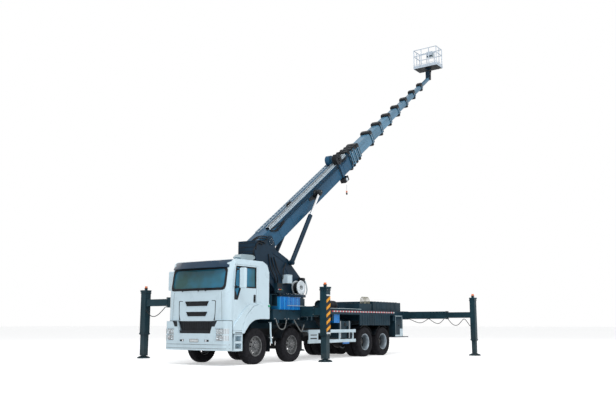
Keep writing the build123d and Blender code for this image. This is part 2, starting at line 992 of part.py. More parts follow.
def door():
    """The left door with its window hole, handle recess and mirror."""
    panel = (cab_body(0) - cab_body(cab_wall)) & door_prism(panel_gap)
    panel = panel - window_cutter()
    panel = panel - block(
        handle_x - handle_width / 2, handle_x + handle_width / 2, cab_half_width - handle_depth,
        cab_half_width + overrun, handle_z - handle_height / 2, handle_z + handle_height / 2,
    )
    half_width = mirror_width / 2
    housing = block(
        mirror_x - mirror_depth / 2, mirror_x + mirror_depth / 2, mirror_y - half_width, mirror_y + half_width,
        mirror_low_z, mirror_high_z,
    )
    housing = fillet(housing.edges(), mirror_depth / 3)
    anchor_y = cab_half_width - overrun
    arms = [
        rod((mirror_x + overrun, anchor_y, z), (mirror_x, mirror_y, z), mirror_arm_radius)
        for z in (mirror_low_z + 2 * overrun, mirror_high_z + overrun - 3 * overrun)
    ]
    return fused([panel, housing, *arms])


# Bumper, lamps, steps and mudguards

def bumper():
    """The front bumper with its two tall ends, rounded corners and slots."""
    foot_y = bumper_horn_inner_y - (bumper_horn_top_z - bumper_top_z) * horn_slope_share
    outline = [
        (-bumper_half_width, bumper_low_z),
        (bumper_half_width, bumper_low_z),
        (bumper_half_width, bumper_horn_top_z),
        (bumper_horn_inner_y, bumper_horn_top_z),
        (foot_y, bumper_top_z),
        (-foot_y, bumper_top_z),
        (-bumper_horn_inner_y, bumper_horn_top_z),
        (-bumper_half_width, bumper_horn_top_z),
    ]
    face = Plane((bumper_rear_x, 0, 0), x_dir=(0, 1, 0), z_dir=(1, 0, 0))
    solid = extrude(face * make_face(Polyline(*outline, close=True)), bumper_front_x - bumper_rear_x)
    inner_y = bumper_half_width - bumper_thickness
    rear_x = bumper_rear_x - overrun
    inner_x = bumper_front_x - bumper_thickness
    low_z = bumper_low_z - overrun
    horn_y = bumper_horn_inner_y + bumper_thickness
    hollow = [
        block(rear_x, inner_x, -inner_y, inner_y, low_z, bumper_top_z - bumper_thickness),
        block(rear_x, bumper_notch_x, -bumper_notch_y, bumper_notch_y, low_z, bumper_horn_top_z),
        *both_sides(block(rear_x, inner_x, horn_y, inner_y, low_z, bumper_horn_top_z - bumper_thickness)),
    ]
    corners = [
        edge for edge in solid.edges()
        if abs(edge.center().Y) > bumper_half_width - sliding_gap
        and edge.center().X > bumper_front_x - sliding_gap
    ]
    solid = fillet(corners, bumper_radius)
    solid = solid - hollow
    for side in (1, -1):
        y_low, y_high = sorted((side * lamp_inner_y, side * lamp_outer_y))
        solid = solid - block(bumper_front_x - lamp_depth - sliding_gap, bumper_front_x + overrun,
                              y_low - sliding_gap, y_high + sliding_gap,
                              lamp_low_z - sliding_gap, lamp_top_z + sliding_gap)
        slot_low, slot_high = sorted((side * fog_slot_y, side * (fog_slot_y + fog_slot_width)))
        solid = solid - block(bumper_front_x - overrun, bumper_front_x + overrun, slot_low, slot_high,
                              fog_slot_z, fog_slot_z + fog_slot_height)
        stay_low, stay_high = sorted((side * stay_y, side * (stay_y + bumper_thickness)))
        stay_rear = cab_front_x - bumper_thickness * 2
        stay = fused([
            block(stay_rear, inner_x + overrun, stay_low, stay_high, bumper_low_z + bumper_thickness,
                  bumper_top_z - overrun),
            block(stay_rear, cab_front_x - overrun, stay_low, stay_high, bumper_top_z - 2 * overrun,
                  cab_low_z - sliding_gap),
        ])
        solid = fused([solid, stay])
    return solid


def headlamps():
    """The stacked lamp block at each end of the bumper."""
    pair = []
    for side in (1, -1):
        y_low, y_high = sorted((side * lamp_inner_y, side * lamp_outer_y))
        middle = (lamp_low_z + lamp_top_z) / 2
        body = block(bumper_front_x - lamp_depth, bumper_front_x - overrun / 2, y_low, y_high, lamp_low_z, lamp_top_z)
        groove = block(bumper_front_x - overrun, bumper_front_x + overrun, y_low - overrun, y_high + overrun,
                       middle - overrun / 2, middle + overrun / 2)
        pair.append(body - groove)
    return group(pair)


def arch_band(axle_x, radius, y_low, y_high, start, sweep):
    """A curved mudguard over a wheel, from a start angle through a sweep."""
    outer = Pos(axle_x, 0, tyre_radius) * rod((0, y_low, 0), (0, y_high, 0), radius + guard_thickness)
    inner = Pos(axle_x, 0, tyre_radius) * rod((0, y_low - overrun, 0), (0, y_high + overrun, 0), radius)
    reach = 2 * radius
    corner_1 = (axle_x + reach * cos(radians(start)), tyre_radius + reach * sin(radians(start)))
    corner_2 = (axle_x + reach * cos(radians(start + sweep / 2)), tyre_radius + reach * sin(radians(start + sweep / 2)))
    corner_3 = (axle_x + reach * cos(radians(start + sweep)), tyre_radius + reach * sin(radians(start + sweep)))
    wedge = side_plate([(axle_x, tyre_radius), corner_1, corner_2, corner_3], y_low - overrun, y_high + overrun)
    return (outer - inner) & wedge


def cab_steps():
    """The two-tread step under each door, hung from the cab's floor."""
    step = block(step_rear_x, step_front_x, step_inner_y, cab_half_width, step_low_z, step_top_z)
    rise = step_top_z - step_low_z
    for share in step_tread_shares:
        tread_z = step_low_z + rise * share
        step = step - block(step_rear_x + step_tread_depth, step_front_x - step_tread_depth,
                            cab_half_width - step_tread_depth * 4, cab_half_width + overrun,
                            tread_z, tread_z + rise * step_opening_share)
    hanger = block(step_hanger_x - step_tread_depth / 2, step_hanger_x + step_tread_depth / 2,
                   step_inner_y, step_inner_y + step_tread_depth, step_top_z - overrun, cab_low_z - sliding_gap)
    return group(both_sides(fused([step, hanger])))


def mudguards():
    """The mudguards of every axle, each with the stay that carries it."""
    pieces = []
    outer_y = rail_outer_y + sliding_gap
    for axle_x, start, sweep, stay_angle, radius, y_low, y_high in (
        (0, 150, 46, 156, guard_radius, guard_inner_y, guard_outer_y),
        (second_axle_x, 20, 140, 90, guard_radius, guard_inner_y, guard_outer_y),
        (third_axle_x, 55, 100, 105, rear_guard_radius, rear_guard_inner_y, rear_guard_outer_y),
        (fourth_axle_x, 25, 100, 75, rear_guard_radius, rear_guard_inner_y, rear_guard_outer_y),
    ):
        band = arch_band(axle_x, radius, y_low, y_high, start, sweep)
        reach = radius + guard_thickness / 2 + guard_stay_radius / 2
        stay_x = axle_x + reach * cos(radians(stay_angle))
        stay_z = tyre_radius + reach * sin(radians(stay_angle))
        stay = cross_rod(stay_x, stay_z, outer_y, y_high - overrun, guard_stay_radius)
        pieces += both_sides(fused([band, stay]))
    return group(pieces)


# Outriggers: one row for each corner, with the beams' sizes along X and Z
# name: (side, x, beam middle z, reach at rest, beam 1 size, beam 2 size, post size, post foot z, post top z)
outriggers = {
    "front_left": (1, front_left_x, front_left_beam_z, front_left_reach,
                   front_beam_1, front_beam_2, front_post, front_post_low_z, front_post_top_z),
    "front_right": (-1, front_right_x, front_right_beam_z, front_right_reach,
                    front_beam_1, front_beam_2, front_post, front_post_low_z, front_post_top_z),
    "rear_left": (1, rear_outrigger_x + rear_outrigger_pitch / 2, rear_beam_z, rear_reach,
                  rear_beam_1, rear_beam_2, rear_post, rear_post_low_z, rear_post_top_z),
    "rear_right": (-1, rear_outrigger_x - rear_outrigger_pitch / 2, rear_beam_z, rear_reach,
                   rear_beam_1, rear_beam_2, rear_post, rear_post_low_z, rear_post_top_z),
}


def box_tube(x, z, y_low, y_high, width, height, wall):
    """A square tube across the truck, open at both ends."""
    tube = block(x - width / 2, x + width / 2, y_low, y_high, z - height / 2, z + height / 2)
    bore = block(x - width / 2 + wall, x + width / 2 - wall, y_low - overrun, y_high + overrun,
                 z - height / 2 + wall, z + height / 2 - wall)
    return tube - bore


def sided(piece, side):
    """The piece as drawn for the left, or its mirror image for the right."""
    return piece if side > 0 else mirror(piece, Plane.XZ)


def outrigger_travel(reach):
    """How far the outer and the inner beam are out, for a post at this reach."""
    total = reach - stowed_reach
    return total * (1 - inner_beam_share), total * inner_beam_share


def outrigger_housing(side, x, z, size):
    """The fixed tube that a beam slides in."""
    width, height = (value + 2 * (beam_wall + beam_play) for value in size)
    tube = box_tube(x, z, -deck_half_width, deck_half_width, width, height, beam_wall)
    mouth = beam_mouth(x, z, deck_half_width, size, (width, height))
    return fused([tube, sided(mouth, side)])


def beam_mouth(x, z, end_y, inner_size, outer_size):
    """The guide frame in a tube's open end, close round the beam that slides in it."""
    inner_width, inner_height = (value + 2 * sliding_gap for value in inner_size)
    outer_width, outer_height = (value - beam_wall for value in outer_size)
    frame = block(x - outer_width / 2, x + outer_width / 2, end_y - mouth_length, end_y,
                  z - outer_height / 2, z + outer_height / 2)
    return frame - block(x - inner_width / 2, x + inner_width / 2, end_y - mouth_length - overrun, end_y + overrun,
                         z - inner_height / 2, z + inner_height / 2)


def beam_tail(x, z, start_y, size, space):
    """The pad frame round a beam's inner end, close to the tube that it slides in."""
    width, height = (value - 2 * sliding_gap for value in space)
    frame = block(x - width / 2, x + width / 2, start_y, start_y + mouth_length, z - height / 2, z + height / 2)
    bore_width, bore_height = (value - beam_wall for value in size)
    return frame - block(x - bore_width / 2, x + bore_width / 2, start_y - overrun, start_y + mouth_length + overrun,
                         z - bore_height / 2, z + bore_height / 2)


def outrigger_pieces(row):
    """The outer beam, the inner beam with its post, and the leg with its foot."""
    side, x, z, reach, beam_1, beam_2, post, post_low, post_top = row
    first, _ = outrigger_travel(reach)
    beam_1_end = deck_half_width + first
    beam_1_start = beam_1_end - beam_1_length
    outer = fused([
        box_tube(x, z, beam_1_start, beam_1_end, *beam_1, beam_wall),
        beam_mouth(x, z, beam_1_end, beam_2, beam_1),
        beam_tail(x, z, beam_1_start, beam_1, [value + 2 * beam_play for value in beam_1]),
    ])
    post_inner = reach - post[1] / 2
    inner = fused([
        box_tube(x, z, post_inner - beam_2_length, post_inner + beam_wall, *beam_2, beam_wall),
        beam_tail(x, z, post_inner - beam_2_length, beam_2, [value - 2 * beam_wall for value in beam_1]),
    ])
    width, depth = post[0] / 2, post[1] / 2
    tube = block(x - width, x + width, reach - depth, reach + depth, post_low, post_top)
    bore_width, bore_depth = width - beam_wall, depth - beam_wall
    tube = tube - block(x - bore_width, x + bore_width, reach - bore_depth, reach + bore_depth,
                        post_low - overrun, post_top - beam_wall)
    cap = block(x - width - cap_margin, x + width + cap_margin, reach - depth, reach + depth + cap_margin,
                post_top - cap_height * 2, post_top)
    cap = cap - block(x - bore_width, x + bore_width, reach - bore_depth, reach + bore_depth,
                      post_low, post_top - beam_wall)
    beacon = Pos(x, reach, post_top + beacon_height / 2) * Cylinder(beacon_radius, beacon_height)
    inner = inner - block(x - bore_width, x + bore_width, post_inner + beam_wall, post_inner + beam_wall + overrun,
                          post_low, post_top)
    leg_width, leg_depth = bore_width - leg_wall_gap, bore_depth - leg_wall_gap
    guide = block(x - width, x + width, reach - depth, reach + depth, post_low, post_low + mouth_length)
    guide = guide - block(x - leg_width - sliding_gap, x + leg_width + sliding_gap, reach - leg_depth - sliding_gap,
                          reach + leg_depth + sliding_gap, post_low - overrun, post_low + mouth_length + overrun)
    post_piece = fused([inner, tube, cap, beacon, guide])
    foot_top = foot_thickness + foot_hub_height
    leg = fused([
        block(x - leg_width, x + leg_width, reach - leg_depth, reach + leg_depth, foot_top, leg_top_z),
        Pos(x, reach, foot_thickness / 2) * Cylinder(foot_radius, foot_thickness),
        Pos(x, reach, foot_thickness + foot_hub_height / 2) * Cylinder(foot_hub_radius, foot_hub_height),
    ])
    return [sided(piece, side) for piece in (outer, post_piece, leg)]


# Superstructure

def superstructure():
    """The subframe on the rails, the outrigger housings and the slewing pedestal."""
    low_z = rail_top_z + sliding_gap
    inner_y = rail_outer_y - rail_flange
    beam = block(subframe_rear_x, subframe_front_x, inner_y, rail_outer_y, low_z, subframe_top_z)
    pieces = both_sides(beam)
    bores = []
    for side, x, z, _, size, *_ in outriggers.values():
        pieces.append(outrigger_housing(side, x, z, size))
        half, half_height = (value / 2 + beam_play for value in size)
        bores.append(sided(block(x - half, x + half, -deck_half_width - overrun, deck_half_width - mouth_length,
                                 z - half_height, z + half_height), side))
        saddle_top = z - half_height - beam_wall / 2
        if saddle_top > subframe_top_z:
            pieces += both_sides(block(x - half, x + half, inner_y, rail_outer_y, low_z, saddle_top))
    pedestal = Pos(slew_x, 0, (subframe_top_z + pedestal_top_z) / 2 - overrun) * Cylinder(
        pedestal_radius, pedestal_top_z - subframe_top_z + 2 * overrun)
    ring = Pos(slew_x, 0, pedestal_top_z) * Cylinder(ring_radius, ring_height)
    pieces += [pedestal, ring]
    bar_y = deck_half_width - side_panel_thickness
    for x in crossbar_places:
        pieces.append(block(x - overrun * 2, x + overrun * 2, -bar_y, bar_y, subframe_top_z - 4 * overrun,
                            deck_top_z - deck_thickness - sliding_gap))
    bar_top = front_box_low_z - sliding_gap
    for x in front_bar_places:
        pieces.append(block(x - overrun * 2, x + overrun * 2, -bar_y, bar_y, bar_top - front_bar_height, bar_top))
    return fused(pieces) - bores


def deck_panels():
    """The deck plate behind and beside the pedestal and the side panels over the rear wheels."""
    plate = block(deck_rear_x, deck_front_x, -deck_half_width, deck_half_width, deck_top_z - deck_thickness, deck_top_z)
    hole = Pos(slew_x, 0, deck_top_z) * Cylinder(pedestal_radius + sliding_gap, 4 * deck_thickness)
    skirt = block(side_panel_rear_x, side_panel_front_x, deck_half_width - side_panel_thickness, deck_half_width,
                  side_panel_low_z, deck_top_z - overrun)
    lip = block(deck_rear_x, deck_front_x, deck_half_width - side_panel_thickness, deck_half_width,
                deck_top_z - 4 * deck_thickness, deck_top_z)
    return fused([plate - hole, *both_sides(skirt), *both_sides(lip)])


def guard_rails():
    """The two-bar side guards between the axles, with their stays."""
    outer_y = deck_half_width
    post_y = outer_y - side_rail_thickness
    top_z = side_rail_high_z + side_rail_height
    pieces = [
        block(side_rail_rear_x, side_rail_front_x, post_y, outer_y, z, z + side_rail_height)
        for z in (side_rail_low_z, side_rail_high_z)
    ]
    for share in side_post_shares:
        x = side_rail_front_x + (side_rail_rear_x - side_rail_front_x) * share
        half = side_post_width / 2
        pieces.append(block(x - half, x + half, post_y - side_rail_thickness, post_y, side_rail_low_z, top_z))
        half = side_stay_size / 2
        pieces.append(block(x - half, x + half, rail_outer_y + sliding_gap, post_y - overrun,
                            top_z - side_stay_size - overrun, top_z - overrun))
    return group(both_sides(fused(pieces)))


def tanks():
    """The bright tank behind the cab and the small one under the deck."""
    outer_y = deck_half_width - overrun
    low_z = deck_top_z - deck_thickness
    high = block(front_box_rear_x + sliding_gap, front_tank_front_x, outer_y - front_tank_width, outer_y,
                 low_z, low_z + front_tank_height)
    high = fillet(high.edges().filter_by(Axis.Z), front_tank_corner)
    outer_y -= overrun
    small = block(small_tank_front_x - small_tank_length, small_tank_front_x, outer_y - small_tank_width, outer_y,
                  small_tank_low_z, low_z - sliding_gap)
    return group([high, small])


def deck_equipment():
    """The boxes, hose roll and machinery on and under the deck."""
    top = deck_top_z + sliding_gap
    side_box = block(front_box_rear_x, front_box_front_x, front_box_inner_y, deck_half_width - overrun * 2,
                     front_box_low_z, deck_top_z - deck_thickness - sliding_gap)
    rear_box_y = deck_half_width - rear_box_margin
    rear_box = block(deck_rear_x + overrun, rear_box_front_x, -rear_box_y, rear_box_y, top, top + rear_box_height)
    roll_rear_x = roll_front_x - roll_length
    roll = fused([
        rod((roll_rear_x, roll_y, top + roll_radius), (roll_front_x, roll_y, top + roll_radius), roll_radius),
        block(roll_rear_x + roll_foot_margin, roll_front_x - roll_foot_margin, roll_y - roll_foot_width / 2,
              roll_y + roll_foot_width / 2, top, top + roll_radius),
    ])
    hose_box = block(hose_box_front_x - hose_box_length, hose_box_front_x, hose_box_inner_y, hose_box_outer_y,
                     top, top + hose_box_height)
    fuel_tank_rear_x = fuel_tank_front_x - fuel_tank_length
    fuel_tank = block(fuel_tank_rear_x, fuel_tank_front_x, fuel_tank_inner_y, fuel_tank_outer_y,
                      fuel_tank_low_z, fuel_tank_top_z)
    hanger = block(fuel_tank_rear_x + fuel_hanger_margin, fuel_tank_front_x - fuel_hanger_margin,
                   rail_outer_y + sliding_gap, fuel_tank_inner_y + overrun, fuel_hanger_low_z, fuel_hanger_top_z)
    return group([*both_sides(side_box), rear_box, roll, hose_box, fused([fuel_tank, hanger])])


def rear_cabinet():
    """The pale control cabinets at the rear corners, over a thin step plate."""
    rear_x = deck_rear_x + overrun
    front_x = rear_x + rear_cabinet_length
    plate_low_z = deck_top_z - deck_thickness
    top_z = plate_low_z - rear_cabinet_drop
    low_z = rear_cabinet_low_z
    inner_y = rear_cabinet_inner_y
    cabinet = block(rear_x, front_x, inner_y, deck_half_width - overrun, low_z, top_z)
    neck = block(rear_x + rear_neck_margin, front_x - rear_neck_margin, inner_y + rear_neck_margin,
                 deck_half_width - 2 * rear_neck_margin, top_z - rear_neck_overlap, plate_low_z - sliding_gap)
    step = block(rear_x - rear_step_rear, front_x + rear_step_front, inner_y, deck_half_width,
                 low_z - rear_step_thickness, low_z)
    return group(both_sides(fused([cabinet, neck, step])))


# Turret

def turret():
    """The turntable, its two cheeks, the cross plates between them, the tail frame and the drums."""
    base_low = pedestal_top_z + ring_height / 2 + sliding_gap
    base_top = base_low + turret_base_thickness
    base = Pos(slew_x, 0, (base_low + base_top) / 2) * Cylinder(turret_base_radius, turret_base_thickness)
    foot = turret_base_radius * cheek_foot_share
    crown_z = boom_pivot_z + cheek_crown
    outline = [
        (slew_x + foot, base_low + overrun),
        (slew_x - foot, base_low + overrun),
        (cheek_heel_x, cheek_heel_low_z),
        (cheek_heel_x, cheek_heel_z),
        (cheek_back_x, cheek_back_z),
        (cheek_shoulder_x, cheek_shoulder_z),
        (cheek_neck_x, cheek_neck_z),
        (boom_pivot_x - cheek_crown, boom_pivot_z),
        (boom_pivot_x - cheek_crown * cheek_crown_share, crown_z),
        (boom_pivot_x + cheek_crown * cheek_crown_share, crown_z),
        (boom_pivot_x + cheek_crown, boom_pivot_z + cheek_crown * cheek_crown_share),
        (cheek_throat_x, tail_top_z),
        (tail_front_x, tail_top_z),
        (tail_front_x, tail_low_z),
        (cheek_chin_x, cheek_chin_z),
        (cheek_throat_x, cheek_throat_z),
    ]
    pieces = [base]
    cheek = side_plate(outline, cheek_y, cheek_y + cheek_thickness)
    pin_hole = cross_rod(boom_pivot_x, boom_pivot_z, 0, 2 * cheek_y, boom_pin_radius + pin_gap)
    pieces += both_sides(cheek - pin_hole)
    web_y = cheek_y + overrun
    for foot_x, top_x, top_z in (
        (web_front_x, web_front_top_x, web_front_top_z),
        (web_rear_x, web_rear_top_x, web_rear_top_z),
    ):
        foot_z = base_top - overrun
        pieces.append(side_plate([
            (foot_x, foot_z),
            (foot_x - web_thickness, foot_z),
            (top_x - web_thickness, top_z),
            (top_x, top_z),
        ], -web_y, web_y))
    tail_rear_x = tail_front_x - tail_box_length
    pieces.append(block(tail_rear_x, tail_front_x, -web_y, web_y, tail_top_z - tail_plate_thickness, tail_top_z))
    pieces.append(block(tail_rear_x, tail_front_x, -web_y, web_y, tail_low_z, tail_low_z + tail_plate_thickness))
    pieces.append(block(tail_front_x - tail_plate_thickness, tail_front_x, -web_y, web_y, tail_low_z, tail_top_z))
    for side in (1, -1):
        y_low, y_high = sorted((side * cheek_y, side * (lift_y + lift_eye_width / 2 + overrun)))
        pieces.append(cross_rod(lift_pin_x, lift_pin_z, y_low, y_high, lift_pin_radius))
        y_low, y_high = sorted((side * (drum_y - drum_length / 2), side * (drum_y + drum_length / 2)))
        drum = cross_rod(drum_x, drum_z + overrun * 2, y_low, y_high, drum_radius * drum_core_share)
        rims = [cross_rod(drum_x, drum_z + overrun * 2, y, y + drum_rim, drum_radius)
                for y in (y_low, y_high - drum_rim)]
        pieces += [drum, *rims]
    return fused(pieces)


# Boom: drawn along its own X axis, from its pivot to its head, with Z up and square to it

boom_angle = radians(boom_elevation)
boom_direction = Vector(-cos(boom_angle), 0, sin(boom_angle))
boom_plane = Plane(
    origin=(boom_pivot_x, 0, boom_pivot_z),
    x_dir=boom_direction,
    z_dir=(sin(boom_angle), 0, cos(boom_angle)),
)


def section_size(number):
    """The width and height of a boom section, counted from 1 at the base."""
    return base_width - width_step * (number - 1), base_height - height_step * (number - 1)


def section_head(number):
    """How far along the boom a section's head is, as the boom stands at rest."""
    if number <= stowed_sections:
        return base_head + collar_pitch * (number - 1)
    fifth_head = base_head + collar_pitch * (stowed_sections - 1) + fifth_pitch
    return fifth_head + head_pitch * (number - stowed_sections - 1)


def boom_tube(low, high, width, height, wall):
    """A hollow box tube along the boom with rounded corners."""
    start = Plane.YZ.offset(low)
    outer = extrude(start * RectangleRounded(width, height, tube_corner), high - low)
    bore = Plane.YZ.offset(low - overrun) * Rectangle(width - 2 * wall, height - 2 * wall)
    return outer - extrude(bore, high - low + 2 * overrun)


def boom_section(number):
    """One telescoping section: its tube and the thick collar at its head."""
    width, height = section_size(number)
    head = section_head(number)
    tail = base_tail if number == 1 else head - section_length
    tube = boom_tube(tail, head, width, height, tube_wall)
    lip = width_step / 2 - tube_wall - sliding_gap
    low_lip = height_step / 2 - tube_wall - sliding_gap
    collar = Plane.YZ.offset(head - collar_length) * RectangleRounded(
        width + 2 * collar_rise, height + 2 * collar_rise, tube_corner)
    mouth = Plane.YZ.offset(head - collar_length - overrun) * Rectangle(
        width - 2 * (tube_wall + lip), height - 2 * (tube_wall + low_lip))
    collar = extrude(collar, collar_length) - extrude(mouth, collar_length + 2 * overrun)
    pieces = [tube, collar]
    if number > 1:
        pieces.append(tail_pads(number, tail))
    return fused(pieces)


def tail_pads(number, tail):
    """The band of wear pads round a section's tail, close to the next larger tube."""
    width, height = section_size(number)
    band = width + width_step - 2 * (tube_wall + sliding_gap)
    band_height = height + height_step - 2 * (tube_wall + sliding_gap)
    outer = extrude(Plane.YZ.offset(tail) * Rectangle(band, band_height), pad_length)
    bore = Plane.YZ.offset(tail - overrun) * Rectangle(width - tube_wall, height - tube_wall)
    return outer - extrude(bore, pad_length + 2 * overrun)


def boom_base():
    """The first section with its pivot boss, lift bosses, hose carrier, hose drum and hoist."""
    width, height = section_size(1)
    pieces = [boom_section(1)]
    pin_end = cheek_y + cheek_thickness + overrun
    pieces.append(rod((0, -pin_end, 0), (0, pin_end, 0), boom_pin_radius))
    boss_end = cheek_y - panel_gap
    boss_start = width / 2 - tube_wall
    pieces += both_sides(rod((0, boss_start, 0), (0, boss_end, 0), boom_pin_radius * pivot_boss_share))
    pieces += both_sides(rod((lift_eye_along, boss_start, lift_eye_above),
                             (lift_eye_along, lift_boss_face_y, lift_eye_above), lift_boss_radius))
    top = height / 2 - tube_wall / 2
    carrier_end = carrier_width - width / 2
    carrier = block(carrier_front, carrier_rear, carrier_edge - width / 2, carrier_end, top, height / 2 + carrier_height)
    drum_start = carrier_end + overrun
    drum = rod((hose_drum_along, drum_start, top + hose_drum_radius),
               (hose_drum_along, drum_start + hose_drum_width, top + hose_drum_radius), hose_drum_radius)
    half = hoist_arm_width / 2
    arm = block(hoist_along - half, hoist_along + half, -width / 2 - hoist_arm_thickness, tube_wall / 2 - width / 2,
                -height / 2 - hoist_arm_drop, height / 2 - hoist_arm_drop)
    half = hoist_length / 2
    hoist_top = -height / 2 - hoist_gap
    hoist = block(hoist_along - half, hoist_along + half, -width / 2 - hoist_out, hoist_width - width / 2 - hoist_out,
                  hoist_top - hoist_height, hoist_top)
    pieces += [carrier, drum, arm, hoist]
    return fused(pieces)


def boom_tip():
    """The last section with the two head plates that carry the mast."""
    number = section_count
    width, height = section_size(number)
    head = section_head(number)
    tube = boom_tube(head - section_length, head, width, height, tube_wall)
    tube = fused([tube, tail_pads(number, head - section_length)])
    end = block(head - head_plate_thickness, head, -width / 2, width / 2, -height / 2, height / 2)
    plates = both_sides(block(head - head_plate_thickness * 2, head + head_plate_length, width / 2 - overrun,
                              width / 2 - overrun + head_plate_thickness, -height / 2, height / 2))
    hole = rod((mast_pin_along(), -width, 0), (mast_pin_along(), width, 0), mast_pin_radius + pin_gap)
    return fused([tube, end, *plates]) - hole


def mast_pin_along():
    """Where along the boom the mast's levelling pin is."""
    return section_head(section_count) + head_plate_length / 2


def mast_foot():
    """The levelling pin's place in the truck's frame."""
    return boom_plane.from_local_coords((mast_pin_along(), 0, 0))


def mast():
    """The upright mast on the levelling pin, with the turntable for the platform."""
    foot = mast_foot()
    width = section_size(section_count)[0]
    half_y = width / 2 - overrun - panel_gap
    eye = cross_rod(foot.X, foot.Z, -half_y, half_y, mast_width / 2)
    pin = cross_rod(foot.X, foot.Z, -width / 2 - head_plate_thickness, width / 2 + head_plate_thickness,
                    mast_pin_radius)
    post = block(foot.X - mast_width / 2, foot.X + mast_width / 2, -half_y, half_y, foot.Z, foot.Z + mast_height)
    table = Pos(foot.X, 0, foot.Z + mast_height + turntable_height / 2) * Cylinder(turntable_radius, turntable_height)
    return fused([eye, pin, post, table])


def platform():
    """The railed platform on its turntable: floor, kick plates, stiles, rails and control box."""
    foot = mast_foot()
    floor_z = foot.Z + mast_height + turntable_height + sliding_gap
    x_low, x_high = foot.X - platform_length / 2, foot.X + platform_length / 2
    y_low, y_high = -platform_width / 2, platform_width / 2
    top_z = floor_z + platform_height
    tray = block(x_low, x_high, y_low, y_high, floor_z, floor_z + kick_height)
    tray = tray - block(x_low + skin, x_high - skin, y_low + skin, y_high - skin,
                        floor_z + platform_floor, floor_z + kick_height + overrun)
    pieces = [tray]
    inset = stile_radius + skin / 2
    corners = [(x_low + inset, y_low + inset), (x_high - inset, y_low + inset),
               (x_high - inset, y_high - inset), (x_low + inset, y_high - inset)]
    for start, end in zip(corners, corners[1:] + corners[:1]):
        for share in rail_height_shares:
            z = floor_z + kick_height + (platform_height - kick_height - inset) * share
            pieces.append(rod((*start, z), (*end, z), rail_tube_radius))
        shares = stile_shares if abs(start[1] - end[1]) > platform_length else short_stile_shares
        for share in shares[:-1]:
            x = start[0] + (end[0] - start[0]) * share
            y = start[1] + (end[1] - start[1]) * share
            pieces.append(rod((x, y, floor_z + platform_floor / 2), (x, y, top_z - inset / 2), stile_radius))
    box_x = x_low + inset
    pieces.append(block(box_x, box_x + control_box_depth, -control_box_width / 2, control_box_width / 2,
                        top_z - control_box_height, top_z - inset))
    return fused(pieces)


def lift_axis():
    """The lift cylinder's lower and upper pins and its length at rest."""
    low = Vector(lift_pin_x, 0, lift_pin_z)
    high = boom_plane.from_local_coords((lift_eye_along, 0, lift_eye_above))
    return low, high, (high - low).length


def lift_plane(side):
    """The frame of one lift cylinder, with X from its lower to its upper pin."""
    low, high, _ = lift_axis()
    return Plane(origin=(low.X, side * lift_y, low.Z), x_dir=high - low, z_dir=(0, 1, 0))


def lift_barrel(side):
    """A barrel with the eye round its lower pin."""
    start = lift_eye_radius - overrun
    tube = rod((start, 0, 0), (lift_barrel_length, 0, 0), lift_barrel_radius)
    bore = rod((start + 2 * overrun, 0, 0), (lift_barrel_length + overrun, 0, 0),
               lift_barrel_radius - lift_barrel_wall)
    half = lift_eye_width / 2
    eye = rod((0, 0, -half), (0, 0, half), lift_eye_radius)
    hole = rod((0, 0, -half - overrun), (0, 0, half + overrun), lift_pin_radius + pin_gap)
    return lift_plane(side) * (fused([tube, eye]) - bore - hole)


def lift_rod(side):
    """A rod with its head, up to the eye beside the boom's boss."""
    length = lift_axis()[2]
    half = lift_eye_width / 2
    shaft = rod((lift_rod_tail, 0, 0), (length, 0, 0), lift_rod_radius)
    piston_radius = lift_barrel_radius - lift_barrel_wall - sliding_gap
    piston = rod((lift_rod_tail - overrun * 4, 0, 0), (lift_rod_tail, 0, 0), piston_radius)
    eye = rod((length, 0, -half), (length, 0, half), lift_eye_radius)
    return lift_plane(side) * fused([shaft, piston, eye])


nodes = {
    "chassis_frame": chassis_frame(),
    "engine_block": engine_block(),
    "headlamps": headlamps(),
    "steered_axles": group([steered_axle(0), steered_axle(second_axle_x)]),
    "drive_axles": group([drive_axle(third_axle_x), drive_axle(fourth_axle_x)]),
    "mudguards": mudguards(),
    "superstructure": superstructure(),
    "deck_panels": deck_panels(),
    "guard_rails": guard_rails(),
    "tanks": tanks(),
    "deck_equipment": deck_equipment(),
    "rear_cabinets": rear_cabinet(),
    "cab_shell": cab_shell(),
    "bumper_and_steps": group([bumper(), cab_steps()]),
    "cab_glass": screen_glass(),
    "cab_interior": cab_interior(),
    "front_trim": front_trim(),
    "door_left": door(),
    "door_right": mirror(door(), Plane.XZ),
    "turret": turret(),
    "lift_barrels": group([lift_barrel(1), lift_barrel(-1)]),
    "lift_rods": group([lift_rod(1), lift_rod(-1)]),
    "boom_section_1": boom_plane * boom_base(),
}
for number in range(2, section_count):
    nodes[f"boom_section_{number}"] = boom_plane * boom_section(number)
nodes[f"boom_section_{section_count}"] = boom_plane * boom_tip()
nodes["platform_mast"] = mast()
nodes["platform"] = platform()

for name, row in outriggers.items():
    outer, post, leg = outrigger_pieces(row)
    nodes[f"outrigger_beam_{name}"] = outer
    nodes[f"outrigger_post_{name}"] = post
    nodes[f"outrigger_leg_{name}"] = leg

left_knuckle = knuckle()
left_single = single_wheel()
left_twin = twin_wheel()
for axle, axle_x in ((1, 0), (2, second_axle_x)):
    for side, word in ((1, "left"), (-1, "right")):
        at_kingpin = Pos(axle_x, side * kingpin_y, tyre_radius)
        at_wheel = Pos(axle_x, side * single_track / 2, tyre_radius)
        nodes[f"knuckle_{axle}_{word}"] = at_kingpin * sided(left_knuckle, side)
        nodes[f"wheel_{axle}_{word}"] = at_wheel * sided(left_single, side)
for axle, axle_x in ((3, third_axle_x), (4, fourth_axle_x)):
    for side, word in ((1, "left"), (-1, "right")):
        at_wheel = Pos(axle_x, side * twin_track / 2, tyre_radius)
        nodes[f"wheel_{axle}_{word}"] = at_wheel * sided(left_twin, side)

